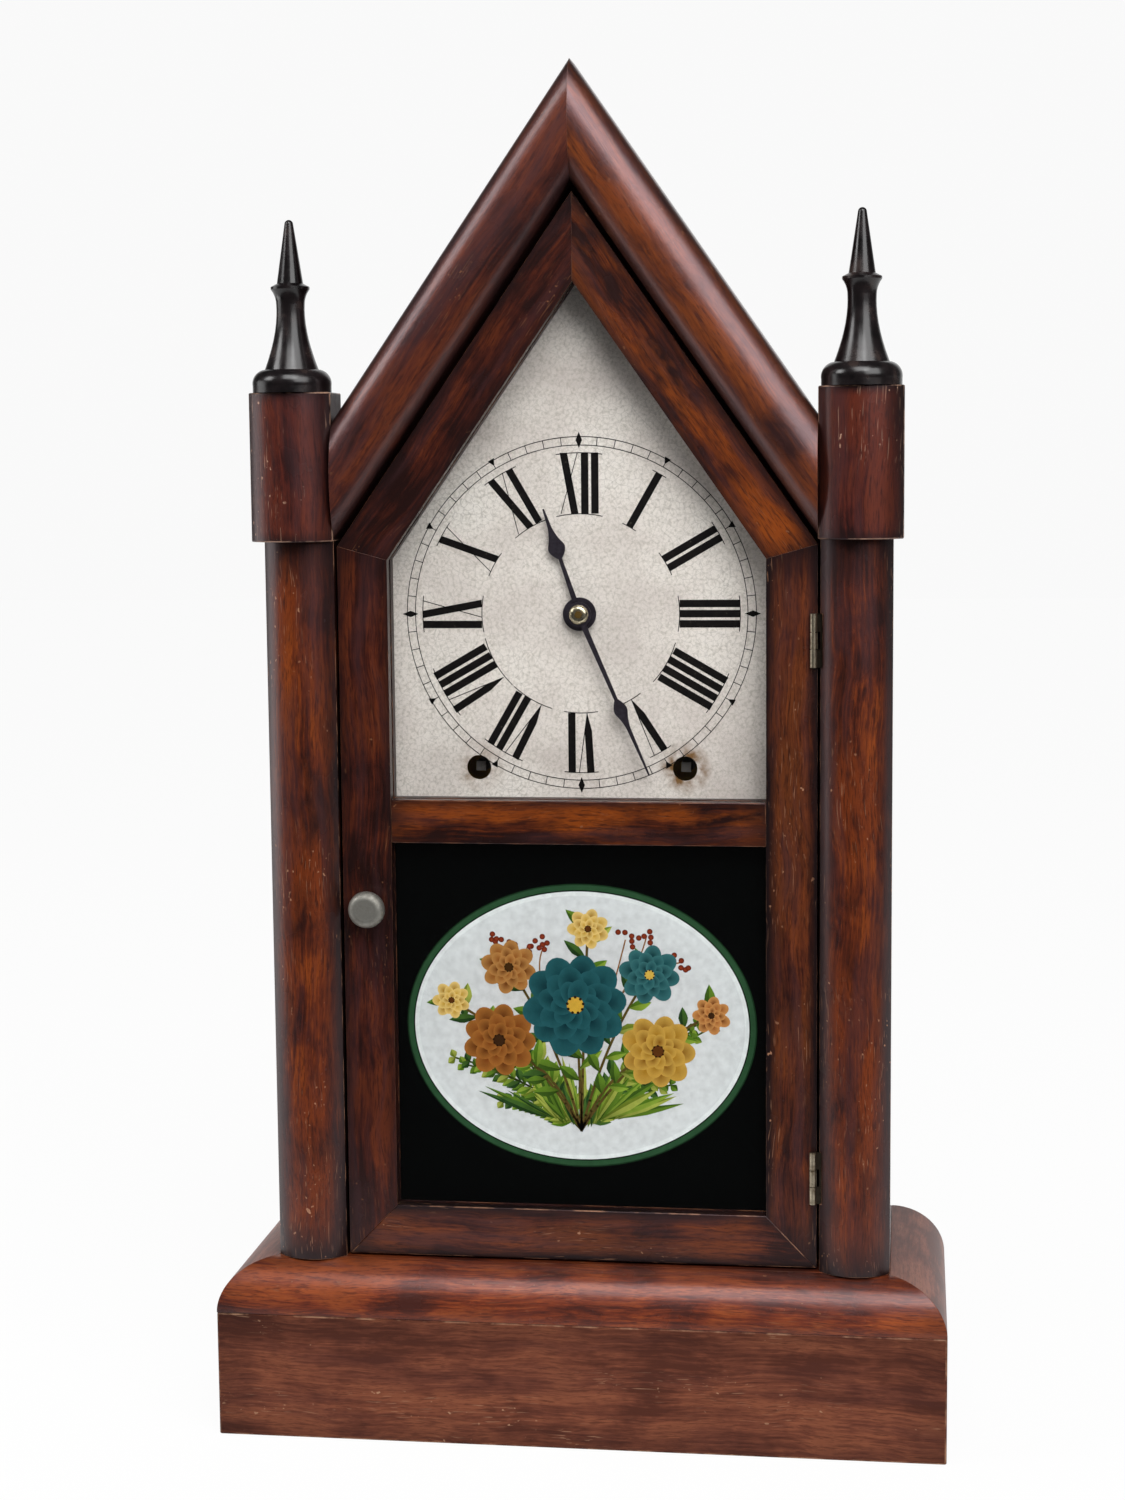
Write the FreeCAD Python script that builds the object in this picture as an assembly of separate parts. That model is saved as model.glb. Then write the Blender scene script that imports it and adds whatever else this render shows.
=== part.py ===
# Shelf clock with a pointed gable: a veneered wooden case with a glazed door, and the
# spring-driven movement inside it that keeps the time and strikes the hours.
# Millimetres, +Z up, front towards -Y, origin at the middle of the underside of the base.
import FreeCAD
import Part
import math
import os

V = FreeCAD.Vector

# Case, overall
base_width = 272.8
total_height = 508.0
gable_run_share = 0.697        # sideways run of the gable for each millimetre of drop

# Base
base_board_height = 47.5
base_board_thickness = 10.0
bottom_thickness = 8.0
moulding_rise = 18.7
moulding_run_front = 14.5
moulding_run_side = 21.0
case_set_in = 23.4

# Case boards
side_thickness = 12.0
frame_thickness = 8.0
stile_width = 29.0
gable_rail_drop = 38.0
roof_thickness = 8.0
roof_inset = 4.0
backboard_thickness = 8.0

# Columns, caps, gable mouldings and finials, glued on the front of the case
column_width = 26.0
column_overhang = 2.3
column_side_depth = 13.6
column_bow = 6.5
cap_width = 30.5
cap_side_over = 0.8
cap_height = 54.3
cap_above_gable = 10.3
cap_side_depth = 18.0
cap_bow = 8.0
gable_moulding_width = 24.5
gable_moulding_side = 13.6
gable_moulding_bow = 9.5
finial_bead_radius = 14.4
finial_bead_edge = 2.4
finial_bead_height = 8.3
finial_bead_top_radius = 10.7
finial_bell_radius = 9.9
finial_bell_length = 19.7
finial_neck_radius = 5.2
finial_neck_length = 4.0
finial_flare_length = 5.4
finial_collar_radius = 7.1
finial_collar_edge = 0.9
finial_collar_slope = 1.2
finial_cone_radius = 4.8
finial_cone_length = 21.3
finial_tip_radius = 1.6
finial_dowel_radius = 4.0
finial_dowel_length = 12.0

# Door
door_set_back = 17.0
door_thickness = 12.0
door_rest_gap = 0.6
door_side_gap = 1.0
door_floor_gap = 0.8
door_stile_width = 18.6
door_bottom_rail_height = 19.3
door_middle_rail_share = 0.359  # height of the rail's underside, of the case above its base
door_middle_rail_height = 16.2
door_apex_gap = 3.4
door_top_rail_drop = 31.8
rabbet_width = 5.0
rabbet_from_front = 4.5
glass_thickness = 2.0
glass_clearance = 0.4
bead_set_in = 0.5

# Door furniture
hinge_inset = 1.4
hinge_pin_radius = 0.7
hinge_knuckle_radius = 1.3
hinge_height = 19.5
hinge_leaf_thickness = 0.8
hinge_leaf_width = 8.0
hinge_end_inset = 24.9
hinge_running_gap = 0.05
hinge_end_gap = 0.3
knob_below_rail = 24.3
knob_inset = 10.0
knob_radius = 6.9
knob_height = 9.0
knob_neck_radius = 3.4
knob_neck_height = 3.0
knob_spindle_radius = 1.6
knob_running_gap = 0.05
tongue_thickness = 1.2
tongue_width = 6.0
tongue_length = 14.0
tongue_gap = 0.3
catch_thickness = 1.0
catch_height = 22.0
catch_width = 9.0

# Dial and hands
dial_behind_door = 3.5
dial_thickness = 0.6
dial_centre_share = 0.55       # height of the hands' axis, of the case above its base
dial_side_gap = 0.6
dial_rail_lap = 12.0
dial_edge_gap = 0.5
dial_centre_hole = 4.4
dial_wind_hole = 4.6
batten_width = 9.0
batten_depth = 8.0
pin_radius = 0.7
pin_head_radius = 1.5
pin_head_height = 0.6
pin_length = 6.0
pin_inset = 4.5
pin_end_inset = 12.0
hand_thickness = 0.6
hand_sweep_clear = 3.2
hour_hand_share = 0.631        # length of the hour hand, to that of the minute hand
hour_hub_radius = 6.2
hour_spade_half = 3.2
hour_spade_shares = (0.527, 0.829)
minute_hub_radius = 4.6
minute_spade_half = 2.5
minute_spade_shares = (0.529, 0.723)
hand_shank_half = 1.1
hand_neck_half = 0.65
hand_needle_half = 0.7
hand_tip_half = 0.3
hour_hand_angle = -18.8
minute_hand_angle = 156.6
hour_hand_clear = 2.0
minute_hand_clear = 1.7
nut_radius = 3.6
nut_height = 1.6
nut_edge = 0.4
hour_pipe_radius = 3.4
hour_pipe_wall = 0.85
hand_post_radius = 1.25
hand_post_over = 0.5

# Movement frame
dial_to_plate = 14.0
plate_thickness = 1.5
plate_gap = 32.5
plate_half_width = 63.0
plate_top_half_width = 60.0
plate_below_centre = 100.2
plate_above_centre = 48.8
pillar_radius = 3.0
pillar_edge_inset = 4.0
pillar_below_centre = 94.7
pillar_above_centre = 40.8
foot_radius = 4.0
foot_length = 13.4
foot_flange_width = 10.0
foot_flange_length = 24.0
foot_flange_thickness = 1.6
foot_screw_offset = 8.0
screw_radius = 1.5
screw_length = 6.5
screw_head_radius = 3.0
screw_head_height = 1.6

# Wheels and pinions: tooth numbers and modules
pivot_radius = 1.2
running_gap = 0.05
arbor_radius = 1.5
wind_x = 38.8
wind_below_centre = 57.6
main_teeth = 72
main_module = 1.0
second_pins = 9
second_teeth = 64
second_module = 0.8
centre_pins = 10
centre_teeth = 80
centre_module = 0.5
third_pins = 7
third_teeth = 70
third_module = 0.45
escape_pins = 7
escape_teeth = 36
escape_tip_radius = 12.0
escape_root_radius = 9.4
cannon_teeth = 12
minute_teeth = 36
motion_module = 0.6
minute_pinion_teeth = 12
hour_teeth = 48
tooth_height_share = 0.85      # of the module, above the pitch circle
tooth_depth_share = 1.25       # of the module, below the pitch circle
tooth_root_share = 0.21        # half thickness at the root, of the pitch
tooth_tip_share = 0.07         # half thickness at the tip, of the pitch
lantern_pin_share = 0.42       # radius of a lantern pin, of the module
crossing_count = 5
crossing_width = 3.0
rim_width = 3.2
wheel_hub_radius = 4.0
main_wheel_width = 2.0
wheel_width = 1.4
lantern_cap_thickness = 0.9
layer_gap = 1.2
lantern_room = 0.8
lantern_rim = 0.4
arbor_over = 0.8
motion_gap = 1.0
cannon_width = 2.0
cannon_radius = 2.5
minute_pinion_width = 3.8
hour_wheel_clear = 2.1
minute_wheel_angle = 60.0
minute_stud_over = 0.8

# Winding work and springs
wind_square = 3.6
wind_arbor_radius = 2.6
wind_behind_dial = 4.0
spring_hub_radius = 5.6
spring_inner_gap = 0.35
spring_turn_count = 6
spring_pitch = 3.4
spring_strip = 0.5
spring_width = 16.0
ratchet_teeth = 20
ratchet_radius = 8.5
ratchet_root_radius = 7.0
ratchet_width = 1.6
click_gap = 0.4
click_length = 12.0
click_width = 4.0
ratchet_gap = 0.4
main_hub_radius = 14.0

# Escapement and pendulum
pendulum_x = -20.0
verge_above_centre = 35.8
verge_to_escape = 18.5
pallet_gap = 1.1
pallet_width = 2.6
verge_strip = 1.2
pallet_angle = 50.0
verge_hub_radius = 2.6
crutch_length = 26.0
crutch_radius = 0.7
crutch_to_plate = 2.2
rod_radius = 1.0
rod_gap = 0.4
pendulum_to_plate = 5.4
post_radius = 2.2
post_above_centre = 42.8
suspension_width = 2.6
suspension_strip = 0.3
suspension_slit_gap = 0.5
suspension_length = 14.0
bob_radius = 20.0
bob_half_thickness = 5.0
bob_edge_half = 1.2
bob_flat_radius = 3.0
rating_nut_radius = 3.5
rating_nut_height = 2.5
rod_end = 4.0

# Strike work, hammer and gong
pin_wheel_radius = 16.0
pin_wheel_angle = -19.0
lift_pin_count = 8
lift_pin_radius = 0.8
lift_pin_length = 2.4
lift_pin_inset = 2.0
hammer_stud_x = -46.0
hammer_stud_below_centre = 87.2
hammer_stud_radius = 1.6
hammer_hub_radius = 3.6
hammer_wire_radius = 0.9
hammer_head_radius = 4.0
hammer_head_back = 3.0
hammer_gap = 1.0
hammer_hub_width = 4.0
hammer_stud_over = 1.0
gong_below_bob = 15.5
gong_wire_radius = 1.1
gong_turns = 5
gong_pitch = 6.4
gong_stand_off = 8.0
gong_base_width = 30.0
gong_base_height = 12.0
gong_base_thickness = 2.4
gong_post_radius = 6.5
gong_post_over = 1.0
gong_screw_offset = 10.5
fit_gap = 0.02
cut_over = 1.0

# Places worked out from the sizes above: the movement and the boards round it make the depth
base_depth = (door_set_back + door_thickness + dial_behind_door + dial_thickness + dial_to_plate
              + 2 * plate_thickness + plate_gap + foot_length + backboard_thickness)
half_base = base_width / 2
front_y = -base_depth / 2
back_y = base_depth / 2
door_front_y = front_y + door_set_back
door_back_y = door_front_y + door_thickness
face_y = door_back_y + door_rest_gap
frame_back_y = face_y + frame_thickness
backboard_front_y = back_y - backboard_thickness
dial_front_y = door_back_y + dial_behind_door
dial_back_y = dial_front_y + dial_thickness
plate_front_y = dial_back_y + dial_to_plate
plate_back_y = plate_front_y + plate_thickness
rear_plate_front_y = plate_back_y + plate_gap
rear_plate_back_y = rear_plate_front_y + plate_thickness

case_half_width = half_base - case_set_in
side_inner = case_half_width - side_thickness
stile_inner_half = case_half_width - stile_width
column_half_gap = case_half_width + column_overhang - column_width
cap_half_gap = column_half_gap - cap_side_over
door_half_width = column_half_gap - door_side_gap
opening_half = door_half_width - door_stile_width
dial_half_width = stile_inner_half - dial_side_gap
knob_x = knob_inset - door_half_width

slope_cos = 1 / math.hypot(1, gable_run_share)
slope_sin = gable_run_share * slope_cos


def slope_z(apex_z, x):
    """Height of a gable line at a distance from the middle."""
    return apex_z - abs(x) / gable_run_share


base_top_z = base_board_height + moulding_rise
case_height = total_height - base_top_z
roof_apex_z = total_height - roof_inset / slope_sin
under_roof_apex_z = roof_apex_z - roof_thickness / slope_sin
rail_apex_z = under_roof_apex_z - gable_rail_drop
moulding_apex_z = total_height - gable_moulding_width / slope_sin
door_apex_z = moulding_apex_z - door_apex_gap
door_inner_apex_z = door_apex_z - door_top_rail_drop
door_shoulder_z = slope_z(door_apex_z, door_half_width)
door_bottom_z = base_top_z + door_floor_gap
door_middle_rail_z = base_top_z + case_height * door_middle_rail_share
upper_opening_z = door_middle_rail_z + door_middle_rail_height
lower_opening_z = door_bottom_z + door_bottom_rail_height
cap_top_z = slope_z(total_height, cap_half_gap) + cap_above_gable
cap_bottom_z = cap_top_z - cap_height
hinge_low_z = door_bottom_z + hinge_end_inset
hinge_high_z = door_shoulder_z - hinge_end_inset - hinge_height
knob_z = door_middle_rail_z - knob_below_rail
dial_centre_z = base_top_z + case_height * dial_centre_share
dial_bottom_z = upper_opening_z - dial_rail_lap
plate_bottom_z = dial_centre_z - plate_below_centre
plate_top_z = dial_centre_z + plate_above_centre
pillar_low_x = plate_half_width - pillar_edge_inset
pillar_low_z = dial_centre_z - pillar_below_centre
pillar_high_x = plate_top_half_width - pillar_edge_inset
pillar_high_z = dial_centre_z + pillar_above_centre
wind_z = dial_centre_z - wind_below_centre
verge_z = dial_centre_z + verge_above_centre
post_z = dial_centre_z + post_above_centre
bob_z = (lower_opening_z + door_middle_rail_z) / 2
hammer_stud_z = dial_centre_z - hammer_stud_below_centre
gong_z = bob_z - gong_below_bob


def save(node, *solids):
    """Write one node as a STEP file, with its solids side by side."""
    shape = solids[0] if len(solids) == 1 else Part.makeCompound(list(solids))
    shape.exportStep("parts/" + node + ".step")


def block(x0, x1, y0, y1, z0, z1):
    """A square-edged board between two corners."""
    return Part.makeBox(x1 - x0, y1 - y0, z1 - z0, V(x0, y0, z0))


def panel(points, y0, y1):
    """A board with an outline seen from the front."""
    corners = [V(x, y0, z) for x, z in points]
    face = Part.Face(Part.makePolygon(corners + corners[:1]))
    return face.extrude(V(0, y1 - y0, 0))


def plan(points, z0, z1):
    """A block with an outline seen from above."""
    corners = [V(x, y, z0) for x, y in points]
    face = Part.Face(Part.makePolygon(corners + corners[:1]))
    return face.extrude(V(0, 0, z1 - z0))


def rod(x, z, radius, y0, y1):
    """A round bar lying front to back."""
    return Part.makeCylinder(radius, y1 - y0, V(x, y0, z), V(0, 1, 0))


def mirrored(shape):
    """The same piece on the other side of the clock."""
    return shape.mirror(V(0, 0, 0), V(1, 0, 0))


def oval_arc(centre, u, v, first, last):
    """Part of an ellipse with two half axes, from one turn in degrees to another."""
    w = u.cross(v)
    w.normalize()
    squash = FreeCAD.Matrix(u.x, v.x, w.x, centre.x, u.y, v.y, w.y, centre.y,
                            u.z, v.z, w.z, centre.z, 0, 0, 0, 1)
    unit_arc = Part.makeCircle(1, V(0, 0, 0), V(0, 0, 1), first, last)
    return unit_arc.transformGeometry(squash).Edges[0]


def curve(points):
    """One smooth edge through a few points."""
    line = Part.BSplineCurve()
    line.interpolate(points)
    return line.toShape()


os.makedirs("parts", exist_ok=True)

# Base: a shallow box of four boards on a bottom board, with a rounded moulding mitred
# round its top edge on three sides.
base_inner = half_base - base_board_thickness
save("base_front", block(-half_base, half_base, front_y, front_y + base_board_thickness, 0,
                         base_board_height))
base_side = block(base_inner, half_base, front_y + base_board_thickness, back_y, 0, base_board_height)
save("base_sides", mirrored(base_side), base_side)
save("base_back_rail", block(-base_inner, base_inner, back_y - base_board_thickness, back_y, 0,
                             base_board_height))
save("bottom_board", block(-base_inner, base_inner, front_y + base_board_thickness,
                           back_y - base_board_thickness, 0, bottom_thickness))

mitre_x = half_base - moulding_run_side
mitre_y = front_y + moulding_run_front


def moulding_strip(corner, run, length):
    """A strip with a rounded top edge: its inner bottom corner, its run outwards and its length."""
    rise = V(0, 0, moulding_rise)
    arc = oval_arc(corner, run, rise, 0, 90)
    legs = Part.makePolygon([corner + rise, corner, corner + run])
    return Part.Face(Part.Wire([arc] + legs.Edges)).extrude(length)


front_strip = moulding_strip(V(-half_base, mitre_y, base_board_height), V(0, -moulding_run_front, 0),
                             V(base_width, 0, 0))
side_strip = moulding_strip(V(mitre_x, front_y, base_board_height), V(moulding_run_side, 0, 0),
                            V(0, base_depth, 0))
mitre_end_x = half_base + moulding_run_side
mitre_end_y = front_y - moulding_run_front
below_top = (base_board_height - cut_over, base_top_z + cut_over)
front_plan = plan([(-mitre_end_x, mitre_end_y), (mitre_end_x, mitre_end_y), (mitre_x, mitre_y),
                   (-mitre_x, mitre_y)], *below_top)
side_plan = plan([(mitre_end_x, mitre_end_y), (mitre_end_x, back_y), (mitre_x, back_y),
                  (mitre_x, mitre_y)], *below_top)
side_moulding = side_strip.common(side_plan).Solids[0]
save("base_mouldings", front_strip.common(front_plan).Solids[0], mirrored(side_moulding), side_moulding)
save("base_top_board", block(-mitre_x, mitre_x, mitre_y, back_y, base_board_height, base_top_z))

# Case: two sides, a front frame of stiles and sloped rails, two roof boards and a backboard.
case_side = panel([(side_inner, base_top_z), (case_half_width, base_top_z),
                   (case_half_width, slope_z(under_roof_apex_z, case_half_width)),
                   (side_inner, slope_z(under_roof_apex_z, side_inner))], frame_back_y, back_y)
save("case_sides", mirrored(case_side), case_side)

front_stile = panel([(stile_inner_half, base_top_z), (case_half_width, base_top_z),
                     (case_half_width, slope_z(under_roof_apex_z, case_half_width)),
                     (stile_inner_half, slope_z(under_roof_apex_z, stile_inner_half))],
                    face_y, frame_back_y)
gable_rail = panel([(0, rail_apex_z), (0, under_roof_apex_z),
                    (stile_inner_half, slope_z(under_roof_apex_z, stile_inner_half)),
                    (stile_inner_half, slope_z(rail_apex_z, stile_inner_half))], face_y, frame_back_y)
roof_board = panel([(0, under_roof_apex_z), (0, roof_apex_z),
                    (case_half_width, slope_z(roof_apex_z, case_half_width)),
                    (case_half_width, slope_z(under_roof_apex_z, case_half_width))], face_y, back_y)
save("front_stiles", mirrored(front_stile), front_stile)
save("gable_rails", mirrored(gable_rail), gable_rail)
save("roof_boards", mirrored(roof_board), roof_board)

backboard = panel([(-side_inner, base_top_z), (side_inner, base_top_z),
                   (side_inner, slope_z(under_roof_apex_z, side_inner)), (0, under_roof_apex_z),
                   (-side_inner, slope_z(under_roof_apex_z, side_inner))], backboard_front_y, back_y)
foot_places = [(-pillar_low_x, pillar_low_z), (pillar_low_x, pillar_low_z),
               (-pillar_high_x, pillar_high_z), (pillar_high_x, pillar_high_z)]
foot_screw_places = [(x, z + math.copysign(foot_screw_offset, dial_centre_z - z)) for x, z in foot_places]
gong_screw_places = [(-gong_screw_offset, gong_z), (gong_screw_offset, gong_z)]
for x, z in foot_screw_places + gong_screw_places:
    backboard = backboard.cut(rod(x, z, screw_radius + fit_gap, backboard_front_y - cut_over,
                                  backboard_front_y + screw_length))
save("backboard", backboard)

# Columns and caps: bowed in front, flat behind, glued to the stiles. Each cap is bored for
# the dowel of its finial.


def bowed_block(x0, width, side_depth, bow, z0, z1):
    """A post with straight sides and a bowed front, standing on the case's face."""
    x1 = x0 + width
    y0 = face_y - side_depth
    front = Part.Arc(V(x0, y0, z0), V(x0 + width / 2, y0 - bow, z0), V(x1, y0, z0)).toShape()
    back = Part.makePolygon([V(x1, y0, z0), V(x1, face_y, z0), V(x0, face_y, z0), V(x0, y0, z0)])
    return Part.Face(Part.Wire([front] + back.Edges)).extrude(V(0, 0, z1 - z0))


column = bowed_block(column_half_gap, column_width, column_side_depth, column_bow, base_top_z, cap_bottom_z)
finial_x = cap_half_gap + cap_width / 2
finial_y = face_y - (cap_side_depth + cap_bow) / 2
cap = bowed_block(cap_half_gap, cap_width, cap_side_depth, cap_bow, cap_bottom_z, cap_top_z)
cap = cap.cut(Part.makeCylinder(finial_dowel_radius + fit_gap, finial_dowel_length + cut_over,
                                V(finial_x, finial_y, cap_top_z - finial_dowel_length)))
save("caps", mirrored(cap), cap)

# Finials: turned, with a bold bead at the foot, a waisted bell that flares into a thin collar, and a long
# pointed tip.


def lathe_point(radius, height):
    """A point on the turned outline, above the top of the cap."""
    return V(finial_x + radius, finial_y, cap_top_z + height)


round_share = math.sqrt(1 / 2)
bell_bend_shares = (0.38, 0.45)
flare_bend_shares = (0.26, 0.53)
neck_low = finial_bead_height + finial_bell_length
neck_high = neck_low + finial_neck_length
collar_low = neck_high + finial_flare_length
collar_high = collar_low + finial_collar_edge
cone_foot = collar_high + finial_collar_slope
tip_low = cone_foot + finial_cone_length
tip_top = tip_low + finial_tip_radius
tip_bend = finial_tip_radius * round_share
bead_out = finial_bead_radius - finial_bead_top_radius
bead_up = finial_bead_height - finial_bead_edge
bell_in = finial_bell_radius - finial_neck_radius
flare_out = finial_collar_radius - finial_neck_radius
bead = Part.Arc(lathe_point(finial_bead_radius, finial_bead_edge),
                lathe_point(finial_bead_top_radius + bead_out * round_share,
                            finial_bead_edge + bead_up * round_share),
                lathe_point(finial_bead_top_radius, finial_bead_height)).toShape()
step = Part.makePolygon([lathe_point(finial_bead_top_radius, finial_bead_height),
                         lathe_point(finial_bell_radius, finial_bead_height)])
bell = curve([lathe_point(finial_bell_radius, finial_bead_height),
              lathe_point(finial_neck_radius + bell_in * bell_bend_shares[0],
                          finial_bead_height + finial_bell_length * bell_bend_shares[1]),
              lathe_point(finial_neck_radius, neck_low), lathe_point(finial_neck_radius, neck_high)])
flare = Part.Arc(lathe_point(finial_neck_radius, neck_high),
                 lathe_point(finial_neck_radius + flare_out * flare_bend_shares[0],
                             neck_high + finial_flare_length * flare_bend_shares[1]),
                 lathe_point(finial_collar_radius, collar_low)).toShape()
cone = Part.makePolygon([lathe_point(finial_collar_radius, collar_low),
                         lathe_point(finial_collar_radius, collar_high),
                         lathe_point(finial_cone_radius, cone_foot), lathe_point(finial_tip_radius, tip_low)])
tip = Part.Arc(lathe_point(finial_tip_radius, tip_low), lathe_point(tip_bend, tip_low + tip_bend),
               lathe_point(0, tip_top)).toShape()
stem = Part.makePolygon([lathe_point(0, tip_top), lathe_point(0, -finial_dowel_length + cut_over),
                         lathe_point(finial_dowel_radius, -finial_dowel_length + cut_over),
                         lathe_point(finial_dowel_radius, 0), lathe_point(finial_bead_radius, 0),
                         lathe_point(finial_bead_radius, finial_bead_edge)])
outline = Part.Wire([bead] + step.Edges + [bell, flare] + cone.Edges + [tip] + stem.Edges)
finial = Part.Face(outline).revolve(lathe_point(0, 0), V(0, 0, 1), 360)
save("finials", mirrored(finial), finial)

# Gable mouldings: strips with straight sides and a half-round front, which meet at the apex
# and butt against the caps.
slope = V(slope_sin, 0, -slope_cos)
inward = V(-slope_cos, 0, -slope_sin)
moulding_top = V(0, face_y, total_height)
moulding_foot = moulding_top + inward * gable_moulding_width
moulding_middle = (moulding_top + moulding_foot) * 0.5
raised = V(0, -gable_moulding_side, 0)
half_round = oval_arc(moulding_middle + raised, moulding_top - moulding_middle,
                      V(0, -gable_moulding_bow, 0), 0, 180)
straight = Part.makePolygon([moulding_foot + raised, moulding_foot, moulding_top, moulding_top + raised])
moulding_face = Part.Face(Part.Wire([half_round] + straight.Edges))
moulding_length = total_height
moulding_face.translate(slope * -gable_moulding_width)
gable_strip = moulding_face.extrude(slope * moulding_length)
moulding_front_y = face_y - gable_moulding_side - gable_moulding_bow
between = block(0, cap_half_gap, moulding_front_y - cut_over, face_y, base_top_z, total_height + cut_over)
gable_moulding = gable_strip.common(between).Solids[0]
save("gable_mouldings", mirrored(gable_moulding), gable_moulding)

# Door: two stiles, a bottom rail and two sloped rails mitred together, with a middle rail
# between the panes. Both panes lie in rabbets behind, held by beads.


def gable_outline(half, bottom_z, apex_z):
    """A pointed pane or board, seen from the front."""
    shoulder_z = slope_z(apex_z, half)
    return [(-half, bottom_z), (half, bottom_z), (half, shoulder_z), (0, apex_z), (-half, shoulder_z)]


def square_outline(half, bottom_z, top_z):
    """A square pane, seen from the front."""
    return [(-half, bottom_z), (half, bottom_z), (half, top_z), (-half, top_z)]


def upper_outline(grow):
    """The upper opening, made larger all round."""
    return gable_outline(opening_half + grow, upper_opening_z - grow, door_inner_apex_z + grow / slope_sin)


def lower_outline(grow):
    """The lower opening, made larger all round."""
    return square_outline(opening_half + grow, lower_opening_z - grow, door_middle_rail_z + grow)


rabbet_y = door_front_y + rabbet_from_front
bead_front_y = rabbet_y + glass_thickness
bead_back_y = door_back_y - bead_set_in
rabbets = panel(upper_outline(rabbet_width), rabbet_y, door_back_y + cut_over)
rabbets = rabbets.fuse(panel(lower_outline(rabbet_width), rabbet_y, door_back_y + cut_over))
hinge_x = door_half_width - hinge_inset
hinge_y = door_front_y - hinge_knuckle_radius - hinge_end_gap
hinge_places = [hinge_low_z, hinge_high_z]


def door_member(points):
    """One wooden member of the door, with the rabbets cut behind it."""
    return panel(points, door_front_y, door_back_y).cut(rabbets).Solids[0]


outer_shoulder = (door_half_width, door_shoulder_z)
inner_shoulder = (opening_half, slope_z(door_inner_apex_z, opening_half))
hinge_stile = door_member([(door_half_width, door_bottom_z), outer_shoulder, inner_shoulder,
                           (opening_half, lower_opening_z)])
knob_stile = mirrored(hinge_stile)
for z in hinge_places:
    leaf_room = block(door_half_width - hinge_leaf_thickness, door_half_width + cut_over,
                      door_front_y - cut_over, door_front_y + hinge_leaf_width, z, z + hinge_height)
    hinge_stile = hinge_stile.cut(leaf_room)
knob_stile = knob_stile.cut(rod(knob_x, knob_z, knob_spindle_radius + knob_running_gap,
                                door_front_y - cut_over, door_back_y + cut_over))
save("door_hinge_stile", hinge_stile)
save("door_knob_stile", knob_stile)
save("door_bottom_rail", door_member([(-door_half_width, door_bottom_z), (door_half_width, door_bottom_z),
                                      (opening_half, lower_opening_z), (-opening_half, lower_opening_z)]))
save("door_middle_rail", door_member(square_outline(opening_half, door_middle_rail_z, upper_opening_z)))
top_rail = door_member([(0, door_inner_apex_z), (0, door_apex_z), outer_shoulder, inner_shoulder])
save("door_top_rails", mirrored(top_rail), top_rail)

glass_grow = rabbet_width - glass_clearance
save("upper_glass", panel(upper_outline(glass_grow), rabbet_y, bead_front_y))
save("tablet_glass", panel(lower_outline(glass_grow), rabbet_y, bead_front_y))
upper_bead = panel(upper_outline(rabbet_width), bead_front_y, bead_back_y)
upper_bead = upper_bead.cut(panel(upper_outline(0), bead_front_y - cut_over, bead_back_y + cut_over))
lower_bead = panel(lower_outline(rabbet_width), bead_front_y, bead_back_y)
lower_bead = lower_bead.cut(panel(lower_outline(0), bead_front_y - cut_over, bead_back_y + cut_over))
save("glazing_beads", upper_bead.Solids[0], lower_bead.Solids[0])

# Hinges: brass butts at the front corner of the door. The case leaf is let into the side of
# the column and holds the pin, and the door leaf turns on it with the middle knuckle.
case_leaves = []
door_leaves = []
knuckle_share = 1 / 3
for z in hinge_places:
    low_z = z + hinge_height * knuckle_share
    high_z = z + hinge_height * (1 - knuckle_share)
    leaf_top = z + hinge_height
    strap_back_y = hinge_y + hinge_knuckle_radius
    strap_front_y = strap_back_y - hinge_leaf_thickness
    leaf_back_y = door_front_y + hinge_leaf_width
    leaf_x = column_half_gap + hinge_leaf_thickness
    case_leaf = block(column_half_gap, leaf_x, strap_front_y, leaf_back_y, z, leaf_top)
    for knuckle_z, knuckle_top in ((z, low_z), (high_z, leaf_top)):
        knuckle = Part.makeCylinder(hinge_knuckle_radius, knuckle_top - knuckle_z,
                                    V(hinge_x, hinge_y, knuckle_z))
        strap = block(hinge_x, leaf_x, strap_front_y, strap_back_y, knuckle_z, knuckle_top)
        case_leaf = case_leaf.fuse(knuckle).fuse(strap)
    case_leaf = case_leaf.fuse(Part.makeCylinder(hinge_pin_radius, hinge_height, V(hinge_x, hinge_y, z)))
    case_leaves.append(case_leaf.removeSplitter().Solids[0])
    middle_z = low_z + hinge_end_gap
    middle_top = high_z - hinge_end_gap
    door_leaf_x = door_half_width - hinge_leaf_thickness
    door_leaf = block(door_leaf_x, door_half_width, door_front_y, leaf_back_y, z, leaf_top)
    web = block(door_leaf_x, door_half_width, hinge_y, leaf_back_y, middle_z, middle_top)
    middle_knuckle = Part.makeCylinder(hinge_knuckle_radius, middle_top - middle_z,
                                       V(hinge_x, hinge_y, middle_z))
    pin_hole = Part.makeCylinder(hinge_pin_radius + hinge_running_gap, hinge_height, V(hinge_x, hinge_y, z))
    door_leaf = door_leaf.fuse(web).fuse(middle_knuckle).cut(pin_hole)
    door_leaves.append(door_leaf.removeSplitter().Solids[0])
save("hinge_case_leaves", *case_leaves)
save("hinge_door_leaves", *door_leaves)

right_column = column
for z in hinge_places:
    leaf_recess = block(column_half_gap - cut_over, leaf_x, strap_front_y - cut_over, leaf_back_y,
                        z, z + hinge_height)
    right_column = right_column.cut(leaf_recess)
save("columns", mirrored(column), right_column)

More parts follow.
